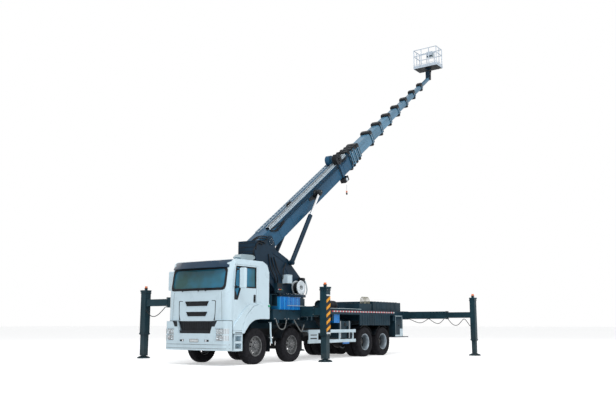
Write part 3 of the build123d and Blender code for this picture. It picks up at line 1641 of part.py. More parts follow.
# The stored frame's origin is under the middle of the whole length, and of the width over the outriggers' feet
front_end = bumper_front_x
rear_end = mast_foot().X - platform_length / 2
left_end = max(front_left_reach, rear_reach)
right_end = max(front_right_reach, rear_reach)
to_origin = Pos(-(front_end + rear_end) / 2, (right_end - left_end) / 2, 0)

os.makedirs("parts", exist_ok=True)
for name, shape in nodes.items():
    export_step(to_origin * shape, f"parts/{name}.step")
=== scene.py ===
"""Dressed scene of the cherry picker truck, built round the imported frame, in metres."""
import math
from math import cos, pi, radians, sin

import bmesh
import bpy
from mathutils import Matrix, Vector


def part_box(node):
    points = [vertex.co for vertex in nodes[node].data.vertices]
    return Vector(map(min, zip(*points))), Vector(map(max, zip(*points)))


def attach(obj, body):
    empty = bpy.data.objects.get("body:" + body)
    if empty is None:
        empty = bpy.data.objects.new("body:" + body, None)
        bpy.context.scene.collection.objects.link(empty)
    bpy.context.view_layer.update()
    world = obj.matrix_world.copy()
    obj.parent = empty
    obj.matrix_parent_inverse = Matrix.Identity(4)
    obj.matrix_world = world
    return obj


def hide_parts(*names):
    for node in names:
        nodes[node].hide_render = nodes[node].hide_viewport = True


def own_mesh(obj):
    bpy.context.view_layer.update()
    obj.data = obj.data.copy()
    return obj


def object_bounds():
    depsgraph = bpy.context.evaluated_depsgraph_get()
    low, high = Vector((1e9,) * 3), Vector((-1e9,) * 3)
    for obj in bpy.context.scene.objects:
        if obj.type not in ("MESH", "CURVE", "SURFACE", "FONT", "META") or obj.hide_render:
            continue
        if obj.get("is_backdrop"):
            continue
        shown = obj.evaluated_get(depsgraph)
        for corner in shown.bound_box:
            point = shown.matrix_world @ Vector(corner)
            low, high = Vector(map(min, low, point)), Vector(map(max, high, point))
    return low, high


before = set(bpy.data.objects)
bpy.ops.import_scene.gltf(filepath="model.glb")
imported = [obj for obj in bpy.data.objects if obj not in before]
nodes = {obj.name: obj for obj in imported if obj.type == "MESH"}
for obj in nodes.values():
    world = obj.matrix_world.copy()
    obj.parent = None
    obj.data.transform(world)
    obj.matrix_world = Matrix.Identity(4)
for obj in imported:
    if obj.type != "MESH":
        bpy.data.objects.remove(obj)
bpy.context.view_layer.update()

# The truck's own frame has its origin on the ground under the first axle, X forward, in millimetres
wheel_low, wheel_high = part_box("wheel_1_left")
centre = Vector(((wheel_low.x + wheel_high.x) / 2, (wheel_low.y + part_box("wheel_1_right")[1].y) / 2, 0))
TRUCK = Matrix.Translation(centre) @ Matrix.Scale(0.001, 4)

elevation = radians(35.75)
pivot = centre + Vector((-1.73, 0, 3.93))

# The boom's own frame has its origin at its pivot, X along the boom and Z square to it, in millimetres
boom_axes = Matrix((
    (-cos(elevation), 0, sin(elevation), pivot.x),
    (0, 1, 0, pivot.y),
    (sin(elevation), 0, cos(elevation), pivot.z),
    (0, 0, 0, 1),
))
BOOM = boom_axes @ Matrix.Scale(0.001, 4)


# Materials

def wired(tree, kind, output, values=(), wires=()):
    """A new shader node with these values and wires on its inputs; gives its output."""
    made = tree.nodes.new(f"ShaderNode{kind}")
    for socket, value in values:
        made.inputs[socket].default_value = value
    for socket, source in wires:
        tree.links.new(source, made.inputs[socket])
    return made.outputs[output]


def calculated(tree, operation, a, b):
    """A maths node over two outputs."""
    value = wired(tree, "Math", "Value", wires=((0, a), (1, b)))
    value.node.operation = operation
    return value


def spread(tree, value, low, high, to_low, to_high):
    """A value moved from one range to another."""
    limits = zip(("From Min", "From Max", "To Min", "To Max"), (low, high, to_low, to_high))
    return wired(tree, "MapRange", "Result", limits, (("Value", value),))


def material(name, colour, rough=0.45, metal=0.0, mottle=0.06, scale=2.0, grain=60.0, bump=0.02,
             coat=0.0, dust=0.0, dust_top=1.3, see_through=0.0, ior=1.5, shine=0.3, other=None,
             streak=0):
    """A procedural finish: uneven colour, worn gloss, fine relief and road dust near the ground.

    mottle is how much the colour wanders, towards `other` if that is given, and streak draws its patches
    out along the boom. scale and grain are the patches and the relief, in noise cells to the metre.
    """
    made = bpy.data.materials.new(name)
    made.use_nodes = True
    tree = made.node_tree
    shader = tree.nodes["Principled BSDF"]
    where = wired(tree, "TexCoord", "Object")
    if streak:
        where = wired(tree, "Mapping", "Vector", (("Rotation", (0, elevation, 0)), ("Scale", (streak, 1, 1))),
                      (("Vector", where),))
        where.node.vector_type = "TEXTURE"

    def noise(size, detail):
        return wired(tree, "TexNoise", "Fac", (("Scale", size), ("Detail", detail)), (("Vector", where),))

    def mix(fac, a, b):
        node = tree.nodes.new("ShaderNodeMix")
        node.data_type = "RGBA"
        tree.links.new(fac, node.inputs["Factor"])
        for socket, value in (("A", a), ("B", b)):
            target = [s for s in node.inputs if s.name == socket and s.type == "RGBA"][0]
            if isinstance(value, tuple):
                target.default_value = (*value, 1)
            else:
                tree.links.new(value, target)
        return [s for s in node.outputs if s.type == "RGBA"][0]

    dark = other or tuple(c * (1 - mottle * 2) for c in colour)
    pale = tuple(min(1, c * (1 + mottle) + mottle * 0.01) for c in colour)
    tint = mix(spread(tree, noise(scale, 6), 0.35, 0.65, 0, 1), dark, pale)
    if dust:
        height = wired(tree, "SeparateXYZ", "Z", wires=(("Vector", where),))
        low = spread(tree, height, 0, dust_top, dust, 0)
        patch = calculated(tree, "MULTIPLY", low, spread(tree, noise(scale * 3, 8), 0.3, 0.7, 0.3, 1))
        tint = mix(patch, tint, (0.2, 0.18, 0.155))
    gloss = spread(tree, noise(scale * 4, 5), 0.3, 0.7, rough * 0.82, min(1, rough * 1.2))
    relief = wired(tree, "Bump", "Normal", (("Strength", bump * 10), ("Distance", 0.001)),
                   (("Height", noise(grain, 3)),))
    for socket, value in (("Metallic", metal), ("IOR", ior), ("Specular IOR Level", shine),
                          ("Coat Weight", coat), ("Coat Roughness", 0.08),
                          ("Transmission Weight", see_through)):
        shader.inputs[socket].default_value = value
    for socket, source in (("Base Color", tint), ("Roughness", gloss), ("Normal", relief)):
        tree.links.new(source, shader.inputs[socket])
    return made


WHITE = material("cab white", (0.52, 0.66, 0.74), 0.3, coat=0.5, mottle=0.025, scale=0.8, bump=0.01, dust=0.3,
                 dust_top=0.8, shine=0.4)
PALE = material("pale panel", (0.3, 0.39, 0.43), 0.4, coat=0.2, mottle=0.05, dust=0.3)
BLACK = material("black trim and painted shadow", (0.006, 0.009, 0.013), 0.42, mottle=0.2, grain=400, bump=0.03, shine=0.22)
VISOR_TINT = material("smoked visor", (0.012, 0.04, 0.08), 0.14, coat=0.12, mottle=0.1, scale=1.2, grain=40,
                      bump=0.003, shine=0.2)
RUBBER = material("seal rubber", (0.008, 0.009, 0.011), 0.75, mottle=0.15, grain=200, bump=0.04, shine=0.2)
TYRE = material("tyre rubber", (0.009, 0.009, 0.012), 0.85, mottle=0.2, scale=6, grain=120, bump=0.06,
                shine=0.2)
FRAME = material("frame paint", (0.007, 0.009, 0.013), 0.55, mottle=0.15, dust=0.3, shine=0.22)
DECK = material("deck paint", (0.009, 0.032, 0.05), 0.42, mottle=0.12, dust=0.12, shine=0.14)
SUPPORT = material("outrigger paint", (0.01, 0.036, 0.05), 0.42, mottle=0.12, dust=0.15, shine=0.16)
TURRET = material("turret paint", (0.006, 0.024, 0.046), 0.4, mottle=0.12, shine=0.14)
BASE = material("base boom paint", (0.012, 0.075, 0.15), 0.36, coat=0.05, mottle=0.12, scale=2.2, shine=0.2,
                streak=7)
SECTION = material("boom section paint", (0.09, 0.22, 0.34), 0.34, coat=0.1, mottle=0.15, scale=5, streak=9)
BLUE = material("tank blue", (0.002, 0.15, 0.48), 0.3, coat=0.3, mottle=0.06)
BLUE_PALE = material("tank rib blue", (0.02, 0.27, 0.62), 0.3, coat=0.3, mottle=0.06)
RAIL = material("platform rail", (0.5, 0.58, 0.67), 0.38, metal=0.15, mottle=0.05, grain=200)
CARRIER = material("carrier links", (0.42, 0.5, 0.56), 0.45, mottle=0.08, scale=14, grain=200)
STEEL = material("bare steel", (0.36, 0.38, 0.4), 0.34, metal=1, mottle=0.1, grain=150)
ALLOY = material("alloy", (0.6, 0.67, 0.72), 0.34, metal=0.55, mottle=0.05, grain=180)
CHROME = material("polished rod", (0.78, 0.8, 0.82), 0.1, metal=1, mottle=0.02, grain=300, bump=0.005)
IRON = material("cast iron", (0.035, 0.035, 0.04), 0.6, metal=0.4, mottle=0.2, grain=90, bump=0.06, dust=0.25)
RIM = material("wheel steel", (0.13, 0.135, 0.14), 0.45, metal=0.5, mottle=0.15, scale=8)
RIM_PALE = material("wheel lip", (0.34, 0.4, 0.45), 0.35, metal=0.6, mottle=0.1, scale=8)
GLASS = material("tinted glass", (0.02, 0.2, 0.36), 0.05, mottle=0.02, scale=0.8, bump=0, see_through=0.12,
                 ior=1.45, other=(0.03, 0.1, 0.1))
LENS = material("clear lens", (0.75, 0.8, 0.83), 0.05, mottle=0.02, bump=0, see_through=0.75, ior=1.45)
AMBER = material("amber lens", (0.8, 0.17, 0.03), 0.15, mottle=0.05, coat=0.5, see_through=0.2)
RED = material("red lens", (0.5, 0.02, 0.02), 0.2, mottle=0.05, coat=0.5)
GREEN = material("green lens", (0.03, 0.3, 0.16), 0.2, mottle=0.05, coat=0.5)
ORANGE = material("hazard orange", (0.78, 0.34, 0.02), 0.5, mottle=0.08, scale=12)
TAPE_WHITE = material("tape white", (0.6, 0.64, 0.66), 0.4, mottle=0.05, scale=12)
TAPE_RED = material("tape red", (0.5, 0.02, 0.04), 0.4, mottle=0.08, scale=12)
HOSE = material("hose", (0.007, 0.009, 0.012), 0.55, mottle=0.15, scale=20, grain=250, bump=0.05, shine=0.2)
SEAT = material("seat cloth", (0.03, 0.035, 0.045), 0.85, mottle=0.15, scale=10, grain=500, bump=0.08)
SAND = material("coiled line", (0.35, 0.34, 0.27), 0.7, mottle=0.1, scale=20)
DULL = material("worn hose", (0.16, 0.17, 0.17), 0.7, mottle=0.15, scale=20, grain=200, bump=0.05)

finishes = {
    "chassis_frame": FRAME, "engine_block": IRON, "steered_axles": FRAME, "drive_axles": FRAME,
    "mudguards": BLACK, "superstructure": DECK, "deck_panels": DECK, "guard_rails": WHITE, "tanks": BLUE,
    "deck_equipment": DECK, "rear_cabinets": DECK, "cab_shell": WHITE, "bumper_and_steps": WHITE,
    "headlamps": BLACK, "front_trim": BLACK, "cab_glass": GLASS, "cab_interior": SEAT, "door_left": WHITE,
    "door_right": WHITE, "turret": TURRET, "lift_barrels": TURRET, "lift_rods": CHROME,
    "boom_section_1": BASE, "platform_mast": TURRET, "platform": RAIL,
}
for name, node in nodes.items():
    finish = finishes.get(name)
    if finish is None:
        finish = SECTION if name.startswith("boom") else SUPPORT if name.startswith("outrigger") else IRON
    node.data.materials.clear()
    node.data.materials.append(finish)


# Mesh building

def ring_faces(count):
    """The faces of a frame whose points are the near outer, near inner, far outer and far inner loops."""
    faces = []
    for i in range(count):
        j = (i + 1) % count
        faces.append((i, j, count + j, count + i))
        faces.append((2 * count + i, 3 * count + i, 3 * count + j, 2 * count + j))
        faces.append((i, 2 * count + i, 2 * count + j, j))
        faces.append((count + i, count + j, 3 * count + j, 3 * count + i))
    return faces


def grid_faces(rows, count, bands, steps):
    """The faces between rows of points; a band or step past the last one goes back to the first."""
    faces = []
    for k in range(bands):
        after = (k + 1) % rows
        for i in range(steps):
            j = (i + 1) % count
            faces.append((k * count + i, k * count + j, after * count + j, after * count + i))
    return faces


def paired_faces(count):
    """The faces of a prism whose points come in pairs, one on each end."""
    faces = [tuple(range(0, 2 * count, 2)), (1, *range(2 * count - 1, 1, -2))]
    for i in range(0, 2 * count, 2):
        faces.append((i, i + 1, (i + 3) % (2 * count), (i + 2) % (2 * count)))
    return faces


def on_axis(axis, a, b, c):
    """The point at c along the axis; a and b are its other two coordinates, in X, Y, Z order."""
    return {"x": (c, a, b), "y": (a, c, b), "z": (a, b, c)}[axis]


def circle(count, radius, a=0.0, b=0.0):
    """Points spread evenly round a circle about (a, b)."""
    turns = [2 * pi * k / count for k in range(count)]
    return [(a + radius * cos(turn), b + radius * sin(turn)) for turn in turns]


def oblong(a, b, half_a, half_b):
    """A rectangle's outline about (a, b)."""
    return [(a + i * half_a, b + j * half_b) for i, j in ((-1, -1), (1, -1), (1, 1), (-1, 1))]


def rounded(x0, x1, z0, z1, radius, turns=4):
    """A rectangle's outline with round corners."""
    points = []
    for cx, cz, start in ((x1 - radius, z1 - radius, 0), (x0 + radius, z1 - radius, 90),
                          (x0 + radius, z0 + radius, 180), (x1 - radius, z0 + radius, 270)):
        for k in range(turns + 1):
            angle = radians(start + 90 * k / turns)
            points.append((cx + radius * cos(angle), cz + radius * sin(angle)))
    return points


class Shape:
    """Collects solids of one piece; each is given in the frame of `to` and lands in the row frame."""

    def __init__(self, to=TRUCK):
        self.mesh = bmesh.new()
        self.to = to
        self.materials = []

    def index(self, finish):
        if finish not in self.materials:
            self.materials.append(finish)
        return self.materials.index(finish)

    def add(self, points, faces, finish):
        verts = [self.mesh.verts.new(self.to @ Vector(p)) for p in points]
        number = self.index(finish)
        made = []
        for face in faces:
            new = self.mesh.faces.new([verts[i] for i in face])
            new.material_index = number
            made.append(new)
        return made

    def box(self, x0, x1, y0, y1, z0, z1, finish):
        points = [(x, y, z) for x in (x0, x1) for y in sorted((y0, y1)) for z in (z0, z1)]
        faces = [(0, 1, 3, 2), (4, 6, 7, 5), (0, 4, 5, 1), (2, 3, 7, 6), (0, 2, 6, 4), (1, 5, 7, 3)]
        self.add(points, faces, finish)

    def boxes(self, finish, *rows):
        """Boxes of one finish; each row is x0, x1, y0, y1, z0, z1."""
        for row in rows:
            self.box(*row, finish)

    def pairs(self, finish, *rows):
        """Boxes on both sides of the truck; each row is the left one's."""
        for side in (1, -1):
            for x0, x1, y0, y1, z0, z1 in rows:
                self.box(x0, x1, side * y0, side * y1, z0, z1, finish)

    def plate(self, outline, low, high, finish, axis="y"):
        """A flat plate; the outline holds the two coordinates other than the axis's, in X, Y, Z order."""
        count = len(outline)
        points = [on_axis(axis, a, b, c) for c in sorted((low, high)) for a, b in outline]
        faces = [tuple(range(count)), tuple(range(2 * count - 1, count - 1, -1))]
        faces += [(i, (i + 1) % count, count + (i + 1) % count, count + i) for i in range(count)]
        self.add(points, faces, finish)

    def ring(self, outer, inner, low, high, finish, axis="y"):
        """A frame between two outlines with as many points each."""
        loops = outer + inner
        points = [on_axis(axis, a, b, c) for c in sorted((low, high)) for a, b in loops]
        self.add(points, ring_faces(len(outer)), finish)

    def bezel(self, x0, x1, z0, z1, radius, width, inner_radius, low, high, finish, axis="y"):
        """A frame of one width all round, with round corners."""
        within = rounded(x0 + width, x1 - width, z0 + width, z1 - width, inner_radius)
        self.ring(rounded(x0, x1, z0, z1, radius), within, low, high, finish, axis)

    def lathe(self, centre, axis, profile, finish, turns=32, closed=False):
        """A turned form: profile points are (along the axis, radius)."""
        centre, axis = Vector(centre), Vector(axis).normalized()
        side = axis.orthogonal().normalized()
        up = axis.cross(side)
        points = []
        for k in range(turns):
            way = side * cos(2 * pi * k / turns) + up * sin(2 * pi * k / turns)
            points += [centre + axis * a + way * max(r, 1e-4) for a, r in profile]
        count = len(profile)
        self.add(points, grid_faces(turns, count, turns, count if closed else count - 1), finish)

    def rod(self, start, end, radius, finish, turns=12):
        start, end = Vector(start), Vector(end)
        length = (end - start).length
        self.lathe(start, end - start, [(0, 0), (0, radius), (length, radius), (length, 0)], finish, turns)

    def bolts(self, places, axis, radius, height, finish=STEEL):
        """Hexagon heads standing on a face at these places."""
        for place in places:
            self.lathe(place, axis, [(-height * 0.2, 0), (-height * 0.2, radius), (height * 0.8, radius),
                                     (height, radius * 0.8), (height, 0)], finish, 6)

    def data(self, name):
        """The mesh itself, with its faces turned outwards."""
        bmesh.ops.recalc_face_normals(self.mesh, faces=self.mesh.faces)
        data = bpy.data.meshes.new(name)
        self.mesh.to_mesh(data)
        self.mesh.free()
        for finish in self.materials:
            data.materials.append(finish)
        return data

    def done(self, name, body, slot, bevel=0.004, smooth=40, replaced=()):
        """Makes the object, rounds its edges a little, and hangs it on its body."""
        place(self.data(name), name, body, slot, bevel, smooth, replaced)


def link(thing):
    """Puts an object in the scene."""
    bpy.context.scene.collection.objects.link(thing)
    return thing


def place(data, name, body, slot, bevel=0.0, smooth=40, replaced=(), matrix=None):
    """Links a mesh as a piece of the object."""
    data.shade_smooth()
    data.set_sharp_from_angle(angle=radians(smooth))
    piece = link(bpy.data.objects.new(name, data))
    if matrix is not None:
        piece.matrix_world = matrix
    if bevel:
        soften = piece.modifiers.new("edges", "BEVEL")
        soften.width = bevel
        soften.segments = 2
        soften.limit_method = "ANGLE"
        soften.angle_limit = radians(50)
        soften.harden_normals = False
    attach(piece, body)
    if replaced:
        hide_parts(*replaced)


def lines(name, body, routes, radius, finish=HOSE, to=TRUCK, soft=False):
    """Hoses, pipes or seams held at both ends, as smooth curves, or as a mesh when soft is set."""
    curve = bpy.data.curves.new(name, "CURVE")
    curve.dimensions = "3D"
    curve.bevel_depth = radius
    curve.bevel_resolution = 3
    curve.resolution_u = 6
    curve.use_fill_caps = True
    for route in routes:
        spline = curve.splines.new("NURBS")
        spline.points.add(len(route) - 1)
        for point, (x, y, z) in zip(spline.points, route):
            point.co = (*(to @ Vector((x, y, z))), 1)
        spline.order_u = 3
        spline.use_endpoint_u = True
    curve.materials.append(finish)
    piece = link(bpy.data.objects.new(name, curve))
    if soft:
        drawn = piece.evaluated_get(bpy.context.evaluated_depsgraph_get())
        mesh = bpy.data.meshes.new_from_object(drawn)
        bpy.data.objects.remove(piece)
        piece = link(bpy.data.objects.new(name, mesh))
    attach(piece, body)
    return piece


# Wheels: drawn once about the origin with the outer side towards +Y, then set at each hub

HUB = Matrix.Identity(4)
HALF_TYRE = [(-0.113, 0.287), (-0.128, 0.3), (-0.143, 0.34), (-0.15, 0.4), (-0.149, 0.46), (-0.143, 0.5),
             (-0.13, 0.525), (-0.112, 0.534), (-0.084, 0.5385), (-0.083, 0.524), (-0.073, 0.524),
             (-0.072, 0.54), (-0.032, 0.54), (-0.031, 0.525), (-0.021, 0.525), (-0.02, 0.54)]
TYRE_PROFILE = HALF_TYRE + [(-across, radius) for across, radius in reversed(HALF_TYRE)]
LUG = ((0.104, 0.53), (0.14, 0.495), (0.1497, 0.497), (0.1385, 0.5255), (0.112, 0.5395))


def add_tyre(shape, y):
    """A tyre with four grooves, shoulder lugs and two raised rings on each wall."""
    shape.lathe((0, y, 0), (0, 1, 0), TYRE_PROFILE, TYRE, 72, closed=True)
    for side in (1, -1):
        for radius in (0.318, 0.415):
            top = 0.145 + (radius - 0.3) * 0.09
            ring = [(side * 0.136, radius), (side * top, radius + 0.003), (side * top, radius + 0.009),
                    (side * 0.136, radius + 0.012)]
            shape.lathe((0, y, 0), (0, 1, 0), ring, TYRE, 72, closed=True)
        for k in range(44):
            turn = Matrix.Rotation(2 * pi * k / 44, 4, "Y")
            points = [turn @ Vector((along, side * across, out)) + Vector((0, y, 0))
                      for across, out in LUG for along in (-0.019, 0.019)]
            shape.add(points, paired_faces(len(LUG)), TYRE)


def add_disc(shape, inner, outer, middle, hole, count, depth, thickness, finish):
    """A dished disc with a ring of holes about its middle radius. depth gives its place across the wheel."""
    around = 24
    step = 2 * pi / count
    reach = (outer - inner) / 2
    for n in range(count):
        rim, lip = [], []
        for k in range(around):
            angle = 2 * pi * k / around
            lip.append((middle + hole * cos(angle), hole * sin(angle) / middle))
            big = max(abs(cos(angle)), abs(sin(angle)))
            a, b = cos(angle) / big, sin(angle) / big
            rim.append(((inner + outer) / 2 + a * reach, b * step / 2))
        points = [(radius * cos(step * n + turn), depth(radius) - face, radius * sin(step * n + turn))
                  for face in (0, thickness) for radius, turn in rim + lip]
        faces = []
        for k in range(around):
            j = (k + 1) % around
            faces.append((k, j, around + j, around + k))
            faces.append((2 * around + k, 3 * around + k, 3 * around + j, 2 * around + j))
            faces.append((around + k, around + j, 3 * around + j, 3 * around + k))
        shape.add(points, faces, finish)


def wheel_mesh(twin):
    """The mesh of a single steered wheel or of a twin driven wheel."""
    shape = Shape(HUB)
    places = (0.1725, -0.1725) if twin else (0,)
    for y in places:
        add_tyre(shape, y)
        shape.lathe((0, y, 0), (0, 1, 0), [
            (0.118, 0.288), (0.126, 0.3), (0.13, 0.303), (0.132, 0.299), (0.122, 0.276), (0.09, 0.268),
            (0.04, 0.256), (-0.06, 0.256), (-0.1, 0.27), (-0.128, 0.29), (-0.128, 0.3), (-0.118, 0.29),
        ], RIM_PALE if twin else RIM, 64, closed=True)
    if twin:
        add_disc(shape, 0.14, 0.262, 0.212, 0.027, 8, lambda r: 0.055 - (r - 0.14) * 0.25, 0.012, RIM)
        outside = [(0.05, 0.146), (0.056, 0.146), (0.06, 0.11), (0.06, 0.1), (0.1, 0.094), (0.15, 0.088),
                   (0.165, 0.07), (0.168, 0)]
        inside = [(0.05, 0.146), (0.02, 0.146), (-0.02, 0.1), (-0.1, 0.09), (-0.13, 0.05)]
        hub_finish, nuts, reach = IRON, 0.058, 0.128
    else:
        add_disc(shape, 0.14, 0.262, 0.206, 0.028, 10, lambda r: 0.075 + (0.262 - r) * 0.35, 0.012, RIM)
        outside = [(0.112, 0.146), (0.12, 0.142), (0.122, 0.1), (0.112, 0.094), (0.15, 0.09), (0.162, 0.078),
                   (0.165, 0.03), (0.165, 0)]
        inside = [(0.1, 0.146), (0.06, 0.15), (0.02, 0.12), (-0.03, 0.1), (-0.1, 0.09)]
        hub_finish, nuts, reach = RIM, 0.12, 0.123
    shape.lathe((0, 0, 0), (0, 1, 0), outside, hub_finish, 32)
    shape.lathe((0, 0, 0), (0, 1, 0), inside, IRON, 32)
    shape.bolts([(x, nuts, z) for x, z in circle(10, reach)], (0, 1, 0), 0.016, 0.03)
    return shape.data("twin wheel" if twin else "single wheel")


wheel_meshes = {False: wheel_mesh(False), True: wheel_mesh(True)}
for axle in (1, 2, 3, 4):
    for word in ("left", "right"):
        body = f"wheel_{axle}_{word}"
        low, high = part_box(body)
        turn = Matrix.Identity(4) if word == "left" else Matrix.Rotation(pi, 4, "Z")
        place(wheel_meshes[axle > 2], f"dressed_{body}", body, "tyre_rubber", replaced=(body,),
              matrix=Matrix.Translation((low + high) / 2) @ turn)


# Cab

CAB_FRONT, CAB_HALF, CAB_CORNER = 1360, 1225, 170
LEAN_FOOT, LEAN_SHARE = 2210, 130 / 775


def front_x(y, z):
    """How far forward the cab's front skin stands, in the truck's frame."""
    bend = min(CAB_CORNER, max(0, abs(y) - CAB_HALF + CAB_CORNER))
    lean = max(0, z - LEAN_FOOT) * LEAN_SHARE
    return CAB_FRONT - lean - CAB_CORNER + math.sqrt(CAB_CORNER ** 2 - bend ** 2)


def skin_band(shape, outer, inner, out, finish, thick=5):
    """A band that follows the cab's front between two outlines of (y, z)."""
    loops = ([], [])
    for i in range(len(outer)):
        j = (i + 1) % len(outer)
        steps = max(1, round(math.dist(outer[i], outer[j]) / 50))
        for k in range(steps):
            for loop, source in zip(loops, (outer, inner)):
                loop.append([a + (b - a) * k / steps for a, b in zip(source[i], source[j])])
    count = len(loops[0])
    points = [(front_x(y, z) + height, y, z) for height in (out - thick, out) for y, z in loops[0] + loops[1]]
    shape.add(points, ring_faces(count), finish)


screen = Shape()
skin_band(screen, rounded(-1112, 1112, 2188, 2872, 120), rounded(-1036, 1036, 2262, 2815, 110), 4, BLACK)
screen.done("screen_border", "cab", "window_glass", bevel=0.001)

wipers = Shape()
for pivot_y, middle_y, half in ((-620, -330, 300), (40, 330, 300), (330, 690, 300)):
    spindle = (front_x(pivot_y, 2190), pivot_y, 2190)
    wipers.lathe(spindle, (1, 0, 0.17), [(-8, 0), (-8, 26), (14, 24), (22, 16), (24, 0)], BLACK, 16)
    elbow = (front_x(middle_y, 2232) + 34, middle_y, 2232)
    wipers.rod((spindle[0] + 16, pivot_y, 2190), elbow, 9, BLACK, 8)
    wipers.box(elbow[0] - 9, elbow[0] + 3, middle_y - half, middle_y + half, 2224, 2240, BLACK)
    wipers.box(elbow[0] - 28, elbow[0] - 9, middle_y - half + 10, middle_y + half - 10, 2228, 2236, RUBBER)
wipers.done("wipers", "cab", "trim_plastic", bevel=0.002)

VISOR = [(1092, 3076), (1300, 3040), (1420, 2852), (1446, 2866), (1330, 3066), (1128, 3100)]
visor = Shape()
stations = 24
points = []
for k in range(stations + 1):
    y = -1134 + 2268 * k / stations
    crown = 190 * abs(y / 1134) ** 3
    for x, z in VISOR:
        skin = front_x(y, z) - max(0, z - 2985) * 1.4
        points.append((max(x - crown, skin + 8 if x < 1425 and z < 3060 else skin + 34), y, z))
count = len(VISOR)
faces = grid_faces(stations + 1, count, stations, count)
faces.append(tuple(range(count)))
faces.append(tuple(range(stations * count, (stations + 1) * count)))
visor.add(points, faces, VISOR_TINT)
visor.done("sun_visor", "cab", "trim_plastic", bevel=0.006, smooth=50, replaced=("front_trim",))

panel = Shape()
for low, top, half, short in ((1730, 1872, 490, 80), (1430, 1562, 440, 84)):
    mouth = [(-half, top), (half, top), (half - short, low), (short - half, low)]
    edge = [(-half - 10, top + 10), (half + 10, top + 10), (half - short + 6, low - 10),
            (short - half - 6, low - 10)]
    panel.ring(edge, mouth, CAB_FRONT - 2, CAB_FRONT + 12, WHITE, "x")
    panel.plate(mouth, CAB_FRONT - 1, CAB_FRONT + 4, BLACK, "x")
    for k in range(3):
        z = low + (top - low) * (k + 0.6) / 3.2
        reach = half - short * (top - z) / (top - low) - 6
        panel.box(CAB_FRONT + 3, CAB_FRONT + 22, -reach, reach, z - 9, z + 9, BLACK)
panel.plate([(-716, 1288), (716, 1288), (602, 992), (-602, 992)], CAB_FRONT - 1, CAB_FRONT + 6, BLACK, "x")
for k in range(7):
    z = 1014 + 40 * k
    reach = 600 + (z - 992) * 0.385 - 6
    panel.box(CAB_FRONT + 4, CAB_FRONT + 24, -reach, reach, z - 7, z + 7, BLACK)
for k in range(13):
    panel.box(CAB_FRONT + 4, CAB_FRONT + 16, -582 + 97 * k - 4, -582 + 97 * k + 4, 996, 1284, BLACK)
PANEL_GAP = ((728, 1890), (752, 1865), (742, 1500), (728, 1318), (676, 1318), (700, 1385), (720, 1500),
             (726, 1850), (712, 1872), (590, 1874), (590, 1890))
LAMP_CORNER = ((716, 1284), (905, 1292), (866, 1236), (812, 1130), (700, 1130))
for side in (1, -1):
    panel.plate([(side * y, z) for y, z in PANEL_GAP], CAB_FRONT - 3, CAB_FRONT + 3, BLACK, "x")
    panel.plate([(side * y, z) for y, z in LAMP_CORNER], 1454, 1459, BLACK, "x")
panel.done("front_grilles", "cab", "trim_plastic", bevel=0.001)
# Painted shadow: thin black lines on the cab skin stand for the shade in the gap above the bumper horns and
# down the cab's sides
lines("cab_gap_painted_shadow_lines", "cab", [
    [(front_x(y, 1298) + 1, side * y, 1298) for y in (690, 800, 900, 1000, 1055, 1100, 1150, 1190, 1215)]
    + [(1190, side * 1226, 1298), (1162, side * 1227, 1296)] for side in (1, -1)
] + [[(1156, side * 1229, z) for z in (1296, 1250, 1100, 950, 935)] for side in (1, -1)], 0.007, BLACK)
SEAM = ((1000, 1330), (998, 1500), (992, 1700), (975, 1960), (960, 2150))
lines("front_seams", "cab", [
    [(front_x(side * y, z) + 0.5, side * y, z) for y, z in SEAM] for side in (1, -1)
], 0.0035, RUBBER)

# The arch flares: each a raised panel outside the wheel arch, and a marker lamp at its rear end
FLARE_LINE = [(380, 1784), (600, 1664), (820, 1452), (1040, 1240), (1126, 1150)]
DOOR_EDGE = [(226, 1720), (540, 1452), (680, 1184), (740, 1002)]
ARCH_EDGE = [(640, 925), (592, 988), (430, 1165), (290, 1262), (140, 1322), (-100, 1349), (-556, 1353)]
CAB_FLARE = [(-556, 1812), (-30, 1800), (-30, 1782)] + DOOR_EDGE + [(1142, 1002), (1142, 925)] + ARCH_EDGE
DOOR_FLARE = [(-14, 1798)] + FLARE_LINE + [(1140, 1014)]
DOOR_FLARE += [(x + 12, z + 10) for x, z in reversed(DOOR_EDGE)] + [(-14, 1790)]
for word, side in (("left", 1), ("right", -1)):
    for piece_name, body, outline in ((f"arch_flare_{word}", "cab", CAB_FLARE),
                                      (f"door_flare_{word}", f"door_{word}", DOOR_FLARE)):
        flare = Shape()
        flare.plate(outline, side * (CAB_HALF - 3), side * (CAB_HALF + 36), WHITE)
        flare.done(piece_name, body, "cab_paint", bevel=0.008, smooth=60)
marks = Shape()
for side, tone in ((1, GREEN), (-1, AMBER)):
    marks.box(-552, -470, side * (CAB_HALF + 30), side * (CAB_HALF + 56), 1722, 1782, tone)
marks.pairs(RUBBER, (760, 1060, CAB_HALF + 32, CAB_HALF + 39, 946, 966))
marks.done("side_markers", "cab", "lamp_lens", bevel=0.006)

# Doors: glass in a rubber frame, the handle in its recess, the mirror's glass and its sleeves
WINDOW = [(1070, 1930), (1070, 2210), (1002, 2890), (100, 2890), (100, 2290), (800, 2290), (950, 1930)]


def inset(points, gap):
    """An outline moved in by a gap, for one that runs clockwise or anticlockwise."""
    area = sum(a[0] * b[1] - b[0] * a[1] for a, b in zip(points, points[1:] + points[:1]))
    sign = 1 if area > 0 else -1
    moved = []
    for before, here, after in zip(points[-1:] + points[:-1], points, points[1:] + points[:1]):
        one, two = [(Vector(b) - Vector(a)).normalized().orthogonal() * sign
                    for a, b in ((before, here), (here, after))]
        normal = (one + two).normalized()
        moved.append(tuple(Vector(here) + normal * gap / max(0.4, normal.dot(one))))
    return moved


